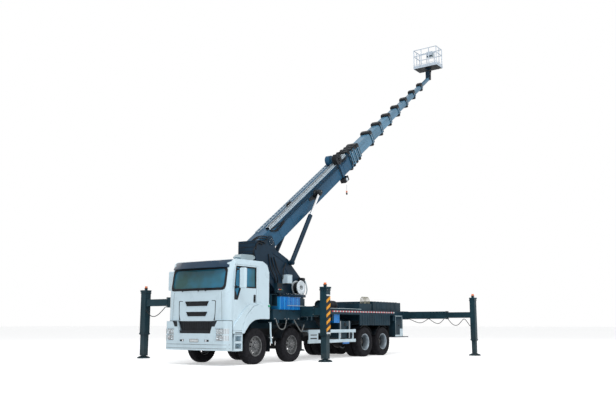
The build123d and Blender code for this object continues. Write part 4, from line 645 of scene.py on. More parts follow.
for word, side in (("left", 1), ("right", -1)):
    body = f"door_{word}"

    def skin(*depths):
        """Places across the truck, measured outwards from the door's skin."""
        return [side * (CAB_HALF + depth) for depth in depths]

    glass = Shape()
    glass.plate(inset(WINDOW, -16), *skin(-26, -20), GLASS)
    glass.done(f"{body}_glass", body, "window_glass", bevel=0)
    edges = Shape()
    edges.ring(inset(WINDOW, -20), inset(WINDOW, 20), *skin(-30, 4), RUBBER)
    edges.plate([(1066, 1934), (1066, 2190), (1010, 2130), (935, 1934)], *skin(-18, 3), BLACK)
    edges.box(820, 846, *skin(-18, 3), 2240, 2885, RUBBER)
    edges.box(121, 179, *skin(-15, -10), 1861, 2059, BLACK)
    edges.ring(rounded(98, 202, 1842, 2078, 20), rounded(122, 178, 1862, 2058, 8), *skin(-2, 5), BLACK)
    edges.box(134, 166, *skin(-9, 12), 1885, 2035, BLACK)
    edges.done(f"{body}_frame", body, "trim_plastic", bevel=0.004)
    mirror = Shape()
    for low, top in ((2470, 2815), (2265, 2440)):
        mirror.box(926, 932, side * 1380, side * 1560, low, top, CHROME)
    mirror.done(f"{body}_mirror_glass", body, "window_glass", bevel=0.002)
    sleeves = Shape()
    for z in (2280, 2800):
        sleeves.rod((1004, side * 1222, z), (987, side * 1440, z), 21, BLACK, 12)
        sleeves.box(980, 1030, *skin(-4, 13), z - 45, z + 45, BLACK)
    sleeves.done(f"{body}_mirror_arms", body, "trim_plastic", bevel=0.006)
    lines(f"{body}_seam", body, [
        [(x, *skin(0.5), z) for x, z in ((60, 1800), (60, 2200), (62, 2700), (64, 2940))],
    ], 0.0025, RUBBER)

# Bumper: lamps with bowls behind a lens, fog lamps, a blank plate and two creases
BUMPER_FRONT, BUMPER_HALF, BUMPER_CORNER = 1455, 1230, 120


def bumper_point(y, z, out=0.0):
    """A point on the bumper's front, or that far out from it."""
    bend = min(BUMPER_CORNER, max(0, abs(y) - BUMPER_HALF + BUMPER_CORNER))
    return BUMPER_FRONT - BUMPER_CORNER + math.sqrt(BUMPER_CORNER ** 2 - bend ** 2) + out, y, z


lamps = Shape()
lamps.pairs(BLACK, (1396, 1402, 832, 1148, 702, 1088))
for side in (1, -1):
    outer = [(side * a, b) for a, b in rounded(832, 1148, 702, 1088, 22)]
    within = [(side * a, b) for a, b in rounded(856, 1124, 724, 1066, 22)]
    lamps.ring(outer, within, 1397, 1446, WHITE, "x")
    lamps.box(1398, 1444, side * 850, side * 1130, 886, 904, WHITE)
    for y, z, radius in ((916, 984, 66), (1062, 984, 66), (916, 812, 60), (1062, 812, 60)):
        lamps.lathe((1400, side * y, z), (1, 0, 0), [
            (2, 0), (3, radius * 0.25), (10, radius * 0.6), (24, radius * 0.86), (38, radius),
            (40, radius + 5), (36, radius + 6), (6, radius * 0.8), (0, radius * 0.3)], CHROME, 32)
        lamps.lathe((1402, side * y, z), (1, 0, 0), [(0, 0), (0, 17), (16, 17), (26, 10), (28, 0)],
                    LENS if z > 900 or y < 1000 else AMBER, 16)
lamps.done("headlamp_sets", "cab", "lamp_lens", bevel=0.002, replaced=("headlamps",))
lens = Shape()
ROUND_CORNER = (1138, 1160, 1180, 1200, 1214, 1224, 1229)
for side in (1, -1):
    for z0, z1, tone in ((716, 882, ALLOY), (882, 906, WHITE), (906, 1074, ALLOY)):
        loop = [bumper_point(side * y, 0, 3)[:2] for y in ROUND_CORNER]
        loop += [(1318, side * 1233), (1296, side * 1233)]
        within = [(x - 8, y - side * 5) for x, y in loop]
        lens.plate(loop + within[::-1], z0, z1, tone, "z")
        if tone is ALLOY:
            for k in range(4):
                x, y = loop[2 * k + 1]
                lens.box(x - 5, x + 3, y - side * 6, y + side * 2, z0 + 10, z1 - 10, BLACK)
    for z0, z1 in ((726, 884), (906, 1064)):
        lens.plate([(side * y, z) for y, z in rounded(858, 1122, z0, z1, 20)], 1438, 1443, LENS, "x")
lens.done("headlamp_lenses", "cab", "lamp_lens", bevel=0.001)

trim = Shape()
trim.pairs(BLACK, (1432, 1438, 422, 588, 692, 748))
for side in (1, -1):
    trim.lathe((1438, side * 470, 720), (1, 0, 0), [(0, 0), (0, 24), (10, 26), (12, 20), (6, 0)], CHROME, 20)
trim.bezel(-180, 180, 676, 764, 12, 8, 8, 1453, 1461, BLACK, "x")
trim.plate(rounded(-174, 174, 682, 758, 8), 1453, 1458, TAPE_WHITE, "x")
trim.bolts([(1458, y, 745) for y in (-110, 110)], (1, 0, 0), 7, 4)
trim.plate([(-620, 928), (620, 928), (680, 1016), (-680, 1016)], 1392, 1400, BLACK, "x")
trim.done("bumper_details", "cab", "trim_plastic", bevel=0.0015)
for name, z in (("bumper_crease_high", 610), ("bumper_crease_low", 500)):
    across = [-1222, -1200, -1160, -1110, -600, 0, 600, 1110, 1160, 1200, 1222]
    lines(name, "cab", [
        [(1250, -1230.5, z)] + [bumper_point(y, z, 0.5) for y in across] + [(1250, 1230.5, z)],
    ], 0.004, RUBBER)

steps = Shape()
for z in (478, 696):
    steps.pairs(ALLOY, (736, 1014, 1046, 1224, z - 2, z + 8),
                *[(744 + 31 * k, 756 + 31 * k, 1056, 1222, z + 7, z + 13) for k in range(9)])
for side in (1, -1):
    steps.bezel(690, 1060, 420, 905, 12, 16, 8, side * 1222, side * 1230, WHITE)
steps.done("step_treads", "cab", "cab_paint", bevel=0.002)

roof = Shape()
for y in (-700, 0, 700):
    roof.box(-480, 1000, y - 22, y + 22, 3113, 3121, WHITE)
roof.done("roof_ribs", "cab", "cab_paint", bevel=0.006)


# Boom: each section's head has a collar with bolts, a black saddle on top and a roller housing under it

HEADS = [6650, 6950, 7250, 7550, 8960, 10038, 11116, 12194, 13272, 14350, 15428]


def section_half(number):
    """Half the width and half the height of a boom section."""
    return (520 - 34.5 * (number - 1)) / 2, (640 - 44.5 * (number - 1)) / 2


for number, head in enumerate(HEADS, 1):
    half = half_y, half_z = section_half(number)
    edge = edge_y, edge_z = half_y + 26, half_z + 26
    collar = Shape(BOOM)

    def outline(size, more, radius):
        """An outline square to the boom, that much larger all round than the size."""
        a, b = size[0] + more, size[1] + more
        return rounded(-a, a, -b, b, radius)

    def cheek(points, near, far, finish=BLACK):
        """A plate seen from the side; its points are measured along from the head."""
        collar.plate([(head + x, z) for x, z in points], near, far, finish)

    for more, size, less, radius, low, high, finish in (
        (4, edge, -3, 24, -134, -26, BASE if number == 1 else SECTION),
        (7, section_half(number + 1), 11, 14, -28, 7, BLACK), (3, half, -2, 14, -137, -128, BLACK),
    ):
        collar.ring(outline(edge, more, 30), outline(size, less, radius), head + low, head + high,
                    finish, "x")
    for share in (-0.62, 0, 0.62):
        for side in (1, -1):
            collar.bolts([(head - 82, side * (edge_y + 4), share * edge_z)], (0, side, 0), 15, 14)
    crowd = number < 4
    back, rise = (150, 56) if crowd else (250, 74)
    wide = edge_y * 0.96
    cheek([(-back, edge_z - 6), (8, edge_z - 6), (8, edge_z + rise * 0.5), (-30, edge_z + rise),
           (50 - back, edge_z + rise), (-back, edge_z + rise * 0.3)], -wide, wide)
    for side in (1, -1):
        cheek([(30 - back, edge_z - 80), (8, edge_z - 96), (8, edge_z + rise * 0.4),
               (30 - back, edge_z + rise * 0.3)], side * (wide - 4), side * (edge_y + 16))
    low = -edge_z - (96 if crowd else 128 - 3 * number)
    block_y = half_y * 0.8
    cheek([(-150, 8 - edge_z), (8, 8 - edge_z), (8, low + 34), (-28, low), (-104, low), (-150, low + 56)],
          -block_y, block_y)
    for side in (1, -1):
        face = side * (block_y + 14)
        cheek([(-128, 60 - edge_z), (-6, 60 - edge_z), (-6, low + 40), (-34, low + 14), (-98, low + 14),
               (-128, low + 60)], side * (block_y - 4), face, RUBBER)
        collar.bolts([(head - 100, face, low + 70), (head - 34, face, low + 70)], (0, side, 0), 11, 9)
    collar.done(f"collar_{number}", f"boom_section_{number}", "inner_boom_paint", bevel=0.003)

# The base section: cable carrier, louvred pipe tray, brackets, the hose drum and the small hoist
EYE_X, EYE_Z = 3450, 50
REEL_X, REEL_Z = 5500, 507
carrier = Shape(BOOM)
carrier.box(298, 6352, 108, 252, 316, 391.5, BLACK)
for x in range(305, 6246, 90):
    carrier.boxes(CARRIER, (x, x + 66, 104, 122, 322, 396), (x, x + 66, 238, 256, 322, 396),
                  (x + 20, x + 46, 118, 242, 386, 393))
carrier.boxes(CARRIER, (296, 6354, 262, 272, 300, 326), (296, 6354, 244, 270, 318, 324),
              (120, 6440, -252, -238, 318, 352), (120, 6440, -120, -106, 318, 352),
              *[(x, x + 26, -246, -112, 320, 342) for x in range(180, 6257, 196)])
carrier.done("cable_carrier", "boom_section_1", "base_boom_paint", bevel=0.002)

tray = Shape(BOOM)
tray.pairs(FRAME, (1150, 6250, 258, 266, 120, 262))
tray.pairs(BASE, *[(1150, 6250, 258, 284, z, z + 10) for z in (112, 160, 208, 256)],
           *[(x, x + 16, 262, 276, 122, 256) for x in range(1170, 6187, 88)],
           *[(x, x + 26, 258, 268, -300, 108) for x in (700, 1600, 4700, 5900)],
           (-300, 6500, 256, 266, -318, -290))
tray.done("pipe_trays", "boom_section_1", "base_boom_paint", bevel=0.002)

BRACKET = [(2960, 90), (3180, 130), (3700, 108), (3960, -60), (3900, -170), (3690, -110), (3560, -120),
           (3330, -120), (3120, -40), (2960, -10)]
bracket = Shape(BOOM)
for side in (1, -1):
    bracket.plate(BRACKET, side * 257, side * 275, BLACK)
    bracket.lathe((EYE_X, side * 257, EYE_Z), (0, side, 0), [
        (0, 60), (0, 150), (40, 150), (70, 134), (116, 124), (118, 100), (118, 50), (122, 46), (122, 0),
    ], BLACK, 32)
    bracket.bolts([(x, side * 297, z) for x, z in circle(8, 137, EYE_X, EYE_Z)], (0, side, 0), 11, 12)
    bracket.bolts([(3760, side * 275, 0), (3880, side * 275, -60)], (0, side, 0), 20, 16)
bracket.done("lift_brackets", "boom_section_1", "base_boom_paint", bevel=0.003)

gear = Shape(BOOM)
gear.lathe((REEL_X, 243, REEL_Z), (0, 1, 0), [
    (0, 60), (0, 208), (8, 214), (14, 206), (18, 196), (186, 196), (190, 206), (198, 214), (206, 208),
    (208, 60)], BLACK, 40)
for n in range(9):
    gear.lathe((REEL_X, 269 + 19.5 * n, REEL_Z), (0, 1, 0), circle(8, 9.6, 0, 200), HOSE, 40, closed=True)
for y in (455, 239):
    for x, z in circle(6, 190, REEL_X, REEL_Z):
        gear.rod((REEL_X, y, REEL_Z), (x, y, z), 7, BLACK, 8)
gear.boxes(BLACK, (1980, 2250, -60, 60, 318, 372), (6270, 6420, -180, 60, 318, 380),
           (5484, 5816, 164, 386, -526, -352))
gear.boxes(FRAME, (2010, 2220, -40, 40, 370, 412),
           *[(x, x + 24, 160, 390, -532, -346) for x in range(5500, 5761, 52)])
gear.lathe((5650, 386, -440), (0, 1, 0), [
    (0, 0), (0, 64), (8, 68), (16, 60), (16, 26), (24, 22), (24, 0)], ALLOY, 24)
gear.lathe((5850, 200, -430), (0, 1, 0), [
    (0, 0), (0, 74), (12, 78), (30, 52), (90, 52), (108, 78), (120, 74), (120, 0)], TAPE_WHITE, 28)
gear.done("boom_top_gear", "boom_section_1", "base_boom_paint", bevel=0.003)

lines("boom_pipes", "boom_section_1", [
    [(360, 276, 300), (600, 282, 230), (820, 284, 250), (1000, 284, 180), (1180, 276, 190)],
    [(300, 276, 250), (520, 292, 110), (760, 290, 170), (980, 286, 130), (1180, 276, 160)],
    [(200, 200, 330), (260, 262, 330), (420, 290, 180), (640, 290, 60), (900, 284, 90), (1180, 276, 130)],
], 0.017, HOSE, BOOM)
lines("boom_head_hoses", "boom_section_1", [
    [(5900, 284, 262), (6200, 300, 300), (6480, 306, 340), (6560, 240, 372), (6500, 120, 400),
     (6380, 20, 390)],
    [(5900, 284, 220), (6250, 306, 230), (6500, 316, 250), (6600, 314, 120), (6600, 312, -60),
     (6540, 300, -200)],
    [(6420, -160, 384), (6540, -120, 430), (6600, 0, 426), (6560, 120, 400), (6440, 180, 396)],
    [(5480, 262, 250), (5520, 300, 60), (5540, 306, -150), (5580, 290, -340)],
], 0.014, HOSE, BOOM)
hook = Shape()
hook.rod((-6750, 260, 6700), (-6750, 260, 6430), 9, STEEL, 8)
hook.rod((-6750, 260, 6440), (-6750, 260, 6380), 34, AMBER, 12)
hook.lathe((-6750, 248, 6330), (0, 1, 0), [(0, 20), (0, 48), (24, 48), (24, 20)], BLACK, 20, closed=True)
hook.done("hoist_hook", "boom_section_1", "base_boom_paint", bevel=0.003)

eyes = Shape(BOOM)
for side in (1, -1):
    eyes.lathe((EYE_X, side * 380, EYE_Z), (0, side, 0), [
        (0, 60), (0, 94), (140, 94), (146, 84), (146, 46), (152, 40), (152, 0)], BLACK, 28)
eyes.done("rod_eyes", "lift_rods", "rod_chrome", bevel=0.003)


# Turret: strips and bolts on the cheeks, the boom's pin, winch drums, boxes, pipes and hoses

PIN_X, PIN_Z, PIN_RADIUS = -1730, 3930, 130
CHEEK_OUT = 356
turret = Shape()
for side in (1, -1):
    turret.lathe((PIN_X, side * CHEEK_OUT, PIN_Z), (0, side, 0), [
        (0, 0), (0, PIN_RADIUS), (16, PIN_RADIUS), (24, PIN_RADIUS - 12), (24, PIN_RADIUS * 0.55),
        (40, PIN_RADIUS * 0.5), (40, 0)], TURRET, 32)
    around = circle(8, PIN_RADIUS * 0.78, PIN_X, PIN_Z)
    turret.bolts([(x, side * 379, z) for x, z in around], (0, side, 0), 12, 12)
    for a, b in (((-1480, 3080), (-2380, 2240)), ((-2460, 3180), (-3240, 2420)),
                 ((-1850, 3560), (-2640, 3260))):
        a, b = Vector(a), Vector(b)
        way = (b - a).normalized() * 22
        across = Vector((way.y, -way.x))
        turret.plate([a + across, b + across, b - across, a - across], side * CHEEK_OUT, side * 372, TURRET)
    turret.bolts([(x, side * 404, 2222) for x in range(-3520, -2559, 120)], (0, 0, 1), 15, 14)
turret.pairs(TURRET, (-3560, -2500, CHEEK_OUT, 420, 2190, 2222))
turret.bolts([(x, y, 2185) for x, y in circle(36, 770, -2900)], (0, 0, 1), 16, 16)
turret.box(-1150, -890, -350, 350, 3878, 3898, TURRET)
for z in (3540, 3680, 3820):
    turret.boxes(BLACK, (-1142, -892, 343, 352, z, z + 16), (-902, -892, -340, 340, z, z + 16))
turret.done("turret_details", "turret", "turret_paint", bevel=0.004)

WINCH_X, WINCH_Z = -3130, 2440
drums = Shape()
for side in (1, -1):
    for low, radius in ((335, 240), (352, 210)):
        drums.lathe((WINCH_X, side * low, WINCH_Z), (0, side, 0), [
            (0, 0), (0, radius), (10, radius + 2), (10, 0)], STEEL, 40)
    drums.lathe((WINCH_X, side * 380, WINCH_Z), (0, side, 0), [
        (0, 168), (0, 244), (18, 250), (30, 244), (34, 190), (210, 190), (214, 244), (226, 250), (250, 244),
        (256, 200), (262, 110), (250, 90), (250, 0)], ALLOY, 48)
    for y in range(428, 573, 24):
        drums.lathe((WINCH_X, side * y, WINCH_Z), (0, side, 0), circle(8, 11, 0, 192), HOSE, 40, closed=True)
    drums.bolts([(x, side * 636, z) for x, z in circle(10, 200, WINCH_X, WINCH_Z)], (0, side, 0), 11, 10)
drums.done("winch_drums", "turret", "turret_paint", bevel=0.002)

boxes = Shape()
boxes.box(-2690, -2390, 362, 560, 2560, 2860, WHITE)
boxes.bezel(-2670, -2410, 2580, 2840, 24, 10, 18, 558, 566, PALE)
boxes.box(-2240, -1960, 362, 470, 2230, 2560, DECK)
for k, tone in enumerate((GREEN, AMBER, RED, STEEL)):
    boxes.lathe((-2200 + 66 * k, 474, 2340), (0, 1, 0), [(0, 0), (0, 22), (24, 20), (26, 0)], tone, 16)
boxes.boxes(FRAME, (-2704, -2376, 440, 566, 2548, 2566), (-3450, -3300, 370, 560, 2330, 2780),
            (-1020, -960, -300, 300, 3300, 3480))
boxes.boxes(BLACK, (-2230, -1970, 468, 474, 2420, 2550), (-3455, -3296, 400, 530, 2780, 2796))
boxes.plate([(-720, 3180), (-260, 3230), (-180, 3300), (-300, 3400), (-960, 3420), (-1010, 3350)],
            40, 330, PALE)
boxes.plate([(-700, 3170), (-420, 3190), (-400, 3240), (-960, 3340)], -300, 60, FRAME)
boxes.done("turret_boxes", "turret", "turret_paint", bevel=0.008)

lines("turret_pipes", "turret", [
    [(-2400, 384, 2700), (-2360, 410, 2950), (-2440, 400, 3150), (-2560, 392, 3260)],
    [(-2340, 384, 2640), (-2250, 430, 2760), (-2120, 420, 2900), (-2020, 384, 3120), (-1900, 372, 3420)],
    [(-1980, 384, 2560), (-1900, 430, 2700), (-1760, 430, 2860), (-1660, 384, 3100), (-1600, 372, 3500)],
    [(-2080, 384, 2560), (-2010, 460, 2680), (-1930, 470, 2820), (-1880, 384, 3080), (-1750, 372, 3400)],
    [(-960, 355, 3700), (-820, 400, 3640), (-760, 380, 3480), (-900, 340, 3400)],
], 0.018, HOSE)
lines("turret_tail_hoses", "turret", [
    [(-930, 270, 3890), (-960, 320, 3940), (-1060, 382, 3990), (-1300, 392, 4010), (-1500, 386, 3990)],
    [(-930, 200, 3890), (-960, 300, 3980), (-1080, 384, 4050), (-1320, 394, 4080), (-1540, 386, 4060)],
    [(-980, 330, 3890), (-1060, 384, 3900), (-1240, 396, 3890), (-1400, 384, 3850)],
    [(-960, 350, 3600), (-900, 388, 3740), (-1040, 394, 3860), (-1240, 384, 3800)],
], 0.022, HOSE)
lines("drum_pipe", "turret", [
    [(-3390, 500, 2790), (-3450, 560, 2700), (-3500, 590, 2500), (-3520, 600, 2330), (-3490, 560, 2215)],
], 0.02, PALE)

# Deck and chassis

TREAD_Z = 1698
deck = Shape()
for y in (-1040, 0, 1040):
    for k in range(64):
        x = -9300 + 104 * k
        under_turret = -3750 < x < -2050 and abs(y) < 900
        under_box = -9410 < x < -7100
        if under_turret or under_box:
            continue
        for n in range(3):
            tip = 9 if (k + n) % 2 else -9
            row_y = y + 60 * (n - 1)
            deck.plate([(x - 26, row_y - tip), (x + 26, row_y + tip - 6), (x + 26, row_y + tip + 6),
                        (x - 26, row_y - tip + 12)], TREAD_Z, TREAD_Z + 6, DECK, "z")
for k in range(23):
    x = -4110 - 200 * k
    deck.pairs(TAPE_RED, (x - 98, x, 1249, 1254, 1622, 1668))
    deck.pairs(TAPE_WHITE, (x - 198, x - 100, 1249, 1254, 1622, 1668))
deck.pairs(DECK, (-8330, -2610, 1236, 1262, 1676, 1708),
           *[(x, x + 26, 1249, 1258, 1160, 1540) for x in range(-8200, -6219, 180)])
deck.done("deck_treads", "chassis", "deck_paint", bevel=0.0015)

boxes = Shape()
for side in (1, -1):
    for x0, x1 in ((-2225, -1520), (-1500, -795)):
        boxes.bezel(x0, x1, 1352, 1645, 26, 12, 20, side * 1206, side * 1216, DECK)
    boxes.bezel(-9380, -8820, 760, 1500, 30, 14, 24, side * 1226, side * 1236, PALE)
    boxes.bezel(-8900, -7700, 1760, 2000, 30, 14, 24, side * 1151 - 6, side * 1151 + 8, DECK)
boxes.pairs(BLACK, (-1932.5, -1812.5, 1208, 1228, 1590, 1612), (-1207.5, -1087.5, 1208, 1228, 1590, 1612),
            (-9140, -9060, 1228, 1246, 1120, 1160))
boxes.pairs(STEEL, *[(x, x + 50, 1208, 1222, 1356, 1384) for x in (-2165, -1630, -1440, -905)])
boxes.pairs(DECK, *[(x, x + 30, 1145, 1157, 1710, 2040) for x in range(-9380, -7479, 380)])
boxes.boxes(DECK, (-9300, -7250, -1050, 1050, 2048, 2060),
            *[(x, x + 25, -1060, 1060, 2056, 2070) for x in range(-9280, -7279, 250)])
boxes.boxes(BLACK, *[(x, x + 25, 498, 1152, 1958, 1968) for x in range(-6990, -6229, 190)])
boxes.done("equipment_boxes", "chassis", "equipment_paint", bevel=0.004)

tank = Shape()
for k in range(10):
    x = -2200 + 118 * k
    tank.box(x, x + 34, 892, 1240, 1656, 2056, BLUE_PALE if k % 2 else BLUE)
tank.boxes(BLUE, (-2250, -1095, 880, 1246, 2048, 2064), (-5250, -4850, 1200, 1252, 500, 560))
tank.boxes(BLUE_PALE, *[(x, x + 20, 996, 1216, 1240, 1664) for x in (-4630, -4480, -4340)])
tank.boxes(STEEL, *[(x - 26, x + 26, 552, 1168, 692, 1308) for x in (-5400, -4800)])
tank.lathe((-1350, 1060, 2062), (0, 0, 1), [(0, 0), (0, 62), (34, 62), (40, 52), (40, 0)], BLACK, 24)
tank.lathe((-4480, 1100, 1660), (0, 0, 1), [(0, 0), (0, 44), (26, 44), (30, 0)], BLACK, 20)
tank.lathe((-5100, 1160, 1180), (0, 1, 0), [(-6, 0), (-6, 66), (12, 66), (22, 56), (22, 0)], BLACK, 24)
tank.done("tank_details", "chassis", "tank_paint", bevel=0.006)

ROLL_Y, ROLL_Z = 850, 1860
roll = Shape()
for n in range(15):
    roll.lathe((-4830 + 66 * n, ROLL_Y, ROLL_Z), (1, 0, 0), [
        (0, 150), (4, 163), (14, 168), (48, 168), (58, 163), (62, 150)], HOSE, 36, closed=True)
for x in (-4700, -4380, -4060):
    roll.lathe((x, ROLL_Y, ROLL_Z), (1, 0, 0), [
        (0, 160), (0, 173), (26, 173), (26, 160)], RUBBER, 36, closed=True)
roll.done("hose_roll", "chassis", "equipment_paint", bevel=0)

lines("deck_hose_loops", "chassis", [
    [(x, 900, 1962), (x - 30, 880, 2120), (x - 10, 960, 2230), (x + 30, 1060, 2200), (x + 20, 1100, 2060),
     (x - 10, 1080, 1962)] for x in range(-6640, -7009, -92)
], 0.013, SAND)
lines("hand_line", "chassis", [
    [(-1500, 1246, 1790), (-1900, 1262, 1786), (-2300, 1262, 1784), (-2700, 1262, 1770)],
    [(-3700, 1254, 1742), (-4600, 1256, 1746), (-5600, 1256, 1746), (-6100, 1254, 1742)],
], 0.011, PALE)
lines("chassis_hose_loops", "chassis", [
    [(-1900, 1205, 1345), (-2000, 1262, 1150), (-2150, 1300, 960), (-2280, 1270, 960), (-2420, 1240, 1180)],
    [(-950, 1205, 1340), (-1000, 1232, 1120), (-1200, 1240, 1010), (-1420, 1232, 1080), (-1500, 1205, 1335)],
], 0.018, DULL)
lines("turret_feed_hoses", "chassis", [
    [(-3500 - 70 * k, 700 + 40 * k, 1700), (-3480 - 60 * k, 860 + 40 * k, 1500),
     (-3600, 1000 + 20 * k, 1150 - 30 * k), (-3760 - 30 * k, 980, 1180), (-3850 - 60 * k, 820, 1400)]
    for k in range(4)
], 0.02, HOSE)

guards = Shape()
guards.pairs(WHITE, (-3240, -2690, 1247, 1256, 560, 1010), (-706, -640, 1150, 1222, 1236, 1262))
guards.pairs(FRAME, (-3160, -2780, 1255, 1259, 700, 740), (-3160, -2780, 1255, 1259, 820, 850))
strip = [(-632 - 60 * (k / 6) ** 2, 1262 - 110 * k) for k in range(7)]
for side in (1, -1):
    guards.plate(strip + [(x - 62, z) for x, z in reversed(strip)], side * 1198, side * 1222, WHITE)
    for x in (-2330, -5260, -8330):
        flap = [(x, 1130), (x + 12, 1130), (x + 40, 560), (x + 28, 560)]
        guards.plate(flap, side * 640, side * 1200, RUBBER)
guards.done("guard_details", "chassis", "guard_plastic", bevel=0.003)

cabinet = Shape()
cabinet.pairs(DECK, (-9424, -9396, 690, 1240, 694, 1548))
cabinet.pairs(WHITE, (-9420, -8780, 1226, 1238, 700, 760), (-9420, -9180, 1228, 1242, 756, 1010))
cabinet.pairs(PALE, (-9420, -8790, 1226, 1236, 1500, 1546), (-9424, -9390, 1200, 1238, 756, 1546))
cabinet.done("cabinet_edges", "chassis", "cabinet_paint", bevel=0.004)

tail = Shape()
tail.pairs(BLACK, (-9440, -9410, 700, 1180, 900, 1060))
tail.box(-9440, -9410, -300, 300, 880, 1030, BLACK)
tail.plate(rounded(-260, 260, 900, 1010, 10), -9446, -9440, TAPE_WHITE, "x")
for side in (1, -1):
    for k, tone in enumerate((RED, AMBER, RED)):
        tail.lathe((-9440, side * (780 + 160 * k), 980), (-1, 0, 0), [
            (0, 0), (0, 60), (14, 56), (20, 0)], tone, 24)
tail.done("tail_lamps", "chassis", "lamp_lens", bevel=0.003)


# Outriggers: hazard stripes on the front posts, beacon lenses, foot ribs and supply hoses

# Each row: side, the post's X, its reach, the beam's Z, the post's width, depth, foot Z and top Z, the outer
# beam's width and height, and the Y of its end
SUPPORTS = {
    "front_left": (1, -2400, 2100, 1610, 240, 250, 820, 2400, 250, 330, 1700),
    "front_right": (-1, -800, 4600, 1945, 240, 250, 820, 2400, 250, 330, 3367),
    "rear_left": (1, -9555, 4250, 1545, 190, 200, 560, 2210, 200, 290, 3133),
    "rear_right": (-1, -9825, 4250, 1545, 190, 200, 560, 2210, 200, 290, 3133),
}


def post_details(name, side, x, reach, wide, deep, low_z, top_z):
    """Stripes on a front post's outer face, a band and bolts at each end, and the beacon on top."""
    post = Shape()
    y = side * reach
    face = side * (reach + deep / 2)
    half = wide / 2 - 6
    if name.startswith("front"):
        post.box(x - half, x + half, face - side * 2, face + side * 5, low_z + 60, top_z - 250, BLACK)
        near, far = face + side * 4, face + side * 8
        for z in range(low_z + 130, top_z - 400, 230):
            stripe = [(x + half, z), (x - half, z + 130), (x - half, z + 230), (x + half, z + 100)]
            post.plate(stripe, near, far, ORANGE)
        post.boxes(TAPE_WHITE, (x - half, x + half, near, far, low_z + 64, low_z + 120),
                   (x - half, x + half, near, far, top_z - 300, top_z - 254))
    for z in (low_z + 20, top_z - 120):
        post.ring(oblong(x, y, wide / 2 + 14, deep / 2 + 14), oblong(x, y, wide / 2 - 4, deep / 2 - 4),
                  z, z + 40, SUPPORT, "z")
        post.bolts([(x + u * wide / 2, face + side * 14, z + 20) for u in (-0.7, 0.7)], (0, side, 0), 12, 10)
    post.lathe((x, y, top_z + 58), (0, 0, 1), [
        (0, 0), (0, 58), (20, 58), (22, 50), (70, 46), (86, 34), (90, 0)], AMBER, 28)
    post.lathe((x, y, top_z + 52), (0, 0, 1), [(0, 0), (0, 66), (14, 66), (18, 60), (18, 0)], BLACK, 28)
    post.done(f"post_details_{name}", f"outrigger_post_{name}", "outrigger_paint", bevel=0.003)


def foot_plate(name, x, y):
    """The foot's turned plate with its twelve ribs."""
    foot = Shape()
    foot.lathe((x, y, 0), (0, 0, 1), [
        (2, 0), (2, 214), (10, 228), (30, 228), (40, 214), (44, 110), (90, 84), (100, 74)], SUPPORT, 48)
    for a, b in circle(12, 1):
        points = [(x + a * radius - b * half, y + b * radius + a * half, z)
                  for radius, z in ((72, 36), (206, 36), (206, 50), (72, 96)) for half in (5, -5)]
        foot.add(points, paired_faces(4), SUPPORT)
    foot.done(f"foot_{name}", f"outrigger_leg_{name}", "outrigger_paint", bevel=0.002)


for name, row in SUPPORTS.items():
    side, x, reach, beam_z, wide, deep, low_z, top_z, beam_wide, beam_high, beam_end = row
    post_details(name, side, x, reach, wide, deep, low_z, top_z)
    foot_plate(name, x, side * reach)
    mouth = Shape()
    half_x, half_z = beam_wide / 2, beam_high / 2
    mouth.ring(oblong(x, beam_z, half_x + 12, half_z + 12), oblong(x, beam_z, half_x - 4, half_z - 4),
               side * (beam_end + 6), side * (beam_end + 38), SUPPORT)
    for way in (1, -1):
        edge = x + way * (half_x + 12)
        mouth.bolts([(edge, side * (beam_end + 22), beam_z + u * half_z) for u in (-0.6, 0.6)],
                    (way, 0, 0), 11, 10)
    mouth.done(f"beam_collars_{name}", f"outrigger_beam_{name}", "outrigger_paint", bevel=0.003)

POST_HOSE = [(3200, 1420), (3330, 1250), (3480, 1140), (3640, 1150), (3780, 1300), (3900, 1420), (4010, 1300),
             (4100, 1160), (4140, 1120)]
BEAM_HOSE = [(1500, 1410), (1700, 1330), (1900, 1250), (2100, 1240), (2280, 1340), (2400, 1420), (2520, 1330),
             (2700, 1220), (2900, 1210), (3060, 1390)]
for name in ("rear_left", "rear_right"):
    side, x = SUPPORTS[name][:2]
    hoses = lines(f"support_hoses_{name}", f"outrigger_post_{name}", [
        [(x + 84, side * y, z) for y, z in POST_HOSE], [(x + 108, side * y, z) for y, z in BEAM_HOSE],
    ], 0.012, HOSE, soft=True)
    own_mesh(hoses)
hoses = lines("post_hose_front_right", "outrigger_post_front_right", [
    [(-674, -3450, 1790), (-660, -3700, 1560), (-660, -3980, 1440), (-660, -4240, 1500), (-690, -4478, 1720)]
], 0.014, HOSE, soft=True)
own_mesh(hoses)


# Platform: floor grating, toe boards, control box, and the cover and hoses of its mast

PLATFORM_X, PLATFORM_END, FLOOR = -15563, -14843, 14159
basket = Shape()
basket.boxes(RAIL, *[(x, x + 7, -636, 636, FLOOR + 58, FLOOR + 72)
                     for x in range(PLATFORM_X + 30, PLATFORM_X + 687, 41)])
basket.boxes(RAIL, *[(PLATFORM_X + 14, PLATFORM_END - 14, y, y + 7, FLOOR + 56, FLOOR + 70)
                     for y in range(-630, 619, 96)])
basket.box(PLATFORM_X + 20, PLATFORM_END - 20, -630, 630, FLOOR - 4, FLOOR + 4, FRAME)
basket.boxes(FRAME, *[(PLATFORM_X + 10, PLATFORM_END - 10, y - 22, y + 22, FLOOR - 12, FLOOR + 2)
                      for y in (-420, 0, 420)])
for z in (FLOOR + 62, FLOOR + 196):
    basket.pairs(RAIL, (PLATFORM_X, PLATFORM_END, 644, 656, z, z + 14))
    basket.boxes(RAIL, *[(x - 6, x + 6, -650, 650, z, z + 14) for x in (PLATFORM_X, PLATFORM_END)])
basket.done("platform_floor", "platform", "platform_metal", bevel=0.0015)

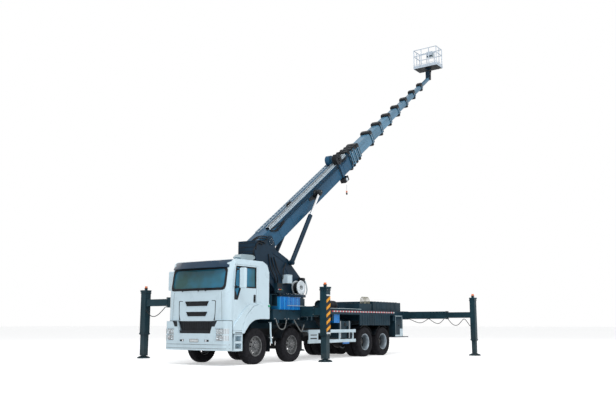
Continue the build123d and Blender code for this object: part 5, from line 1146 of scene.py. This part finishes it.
control = Shape()
control.plate([(-15440, 14880), (-15440, 15090), (-15500, 15120), (-15560, 15120), (-15560, 14880)],
              -164, 164, PALE)
control.box(-15446, -15436, -140, 140, 14900, 15060, BLACK)
for y, tone in ((-90, GREEN), (0, AMBER), (90, RED)):
    control.lathe((-15440, y, 15080), (0.5, 0, 1), [
        (0, 0), (0, 16), (10, 16), (16, 7), (60, 6), (74, 13), (84, 0)], BLACK, 14)
    control.lathe((-15436, y, 14980), (1, 0, 0), [(0, 0), (0, 13), (12, 12), (14, 0)], tone, 14)
control.done("platform_controls", "platform", "platform_metal", bevel=0.004)
cover = Shape()
cover.box(-15310, -15096, -104, 104, 13660, 14010, TURRET)
cover.boxes(BLACK, (-15330, -15076, -124, 124, 13990, 14050), (-15290, -15110, -112, 112, 13560, 13680))
for side in (1, -1):
    cover.bolts([(-15270 + 67 * k, side * 124, 14020) for k in range(3)], (0, side, 0), 11, 9)
cover.done("mast_cover", "platform_mast", "turret_paint", bevel=0.006)
lines("mast_hoses", "platform_mast", [
    [(-15180, 100, 13700), (-15120, 140, 13820), (-15110, 140, 13980), (-15160, 90, 14090)],
    [(-15230, 100, 13690), (-15190, 150, 13850), (-15200, 150, 13990), (-15230, 90, 14090)],
], 0.012, HOSE)


# Camera, floor and lights

PHOTO_WIDE, PHOTO_HIGH = 616, 408
FOCAL_PIXELS = 715.5
AXIS_ACROSS, AXIS_DOWN = 309.7, 201.5
camera_data = bpy.data.cameras.new("camera")
camera_data.sensor_width = 36
camera_data.lens = FOCAL_PIXELS / PHOTO_WIDE * camera_data.sensor_width
camera_data.shift_x = (PHOTO_WIDE / 2 - AXIS_ACROSS) / PHOTO_WIDE
camera_data.shift_y = (AXIS_DOWN - PHOTO_HIGH / 2) / PHOTO_WIDE
camera_data.clip_end = 400
camera = link(bpy.data.objects.new("camera", camera_data))
camera.location = centre + Vector((17.17, 15.13, 1.22))
pitch, heading = radians(9.67), radians(-145.12)
look = Vector((cos(heading) * cos(pitch), sin(heading) * cos(pitch), sin(pitch)))
camera.rotation_euler = look.to_track_quat("-Z", "Y").to_euler()
bpy.context.scene.camera = camera


def lamp(name, size, power, location, target):
    """A soft studio light."""
    data = bpy.data.lights.new(name, "AREA")
    data.shape = "RECTANGLE"
    data.size, data.size_y = size
    data.energy = power
    made = link(bpy.data.objects.new(name, data))
    made.location = location
    made.rotation_euler = (Vector(target) - Vector(location)).to_track_quat("-Z", "Y").to_euler()


lamp("key", (16, 10), 4000, (16, 10, 20), (0, 0, 4))
lamp("fill", (16, 12), 1100, (-6, 26, 12), (0, 0, 5))
lamp("rim", (14, 8), 1300, (-20, -14, 18), (0, 0, 6))

FLOOR_REACH = 250
floor_data = bpy.data.meshes.new("floor")
floor_data.from_pydata([(a, b, 0) for a, b in oblong(0, 0, FLOOR_REACH, FLOOR_REACH)], [], [(0, 1, 2, 3)])
floor = link(bpy.data.objects.new("floor", floor_data))
floor_paint = bpy.data.materials.new("floor")
floor_paint.use_nodes = True
floor_tree = floor_paint.node_tree
floor_shader = floor_tree.nodes["Principled BSDF"]
floor_shader.inputs["Base Color"].default_value = (0.86, 0.87, 0.88, 1)
floor_shader.inputs["Roughness"].default_value = 0.9
floor_shader.inputs["Emission Color"].default_value = (1, 1, 1, 1)


def straight_rays(tree):
    """1 for rays from the camera and for those seen in gloss or through glass, otherwise 0."""
    value = wired(tree, "LightPath", "Is Camera Ray")
    paths = value.node.outputs
    for other in ("Is Glossy Ray", "Is Transmission Ray"):
        value = calculated(tree, "MAXIMUM", value, paths[other])
    return value


floor_glow = spread(floor_tree, straight_rays(floor_tree), 0, 1, 0, 0.45)
floor_tree.links.new(floor_glow, floor_shader.inputs["Emission Strength"])
floor_data.materials.append(floor_paint)
floor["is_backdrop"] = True

world = bpy.data.worlds.new("studio")
bpy.context.scene.world = world
world.use_nodes = True
tree = world.node_tree
tree.nodes["Background"].inputs["Color"].default_value = (1, 1, 1, 1)
world_glow = spread(tree, straight_rays(tree), 0, 1, 0.5, 1)
tree.links.new(world_glow, tree.nodes["Background"].inputs["Strength"])
bpy.context.scene.view_settings.view_transform = "Standard"

low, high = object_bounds()
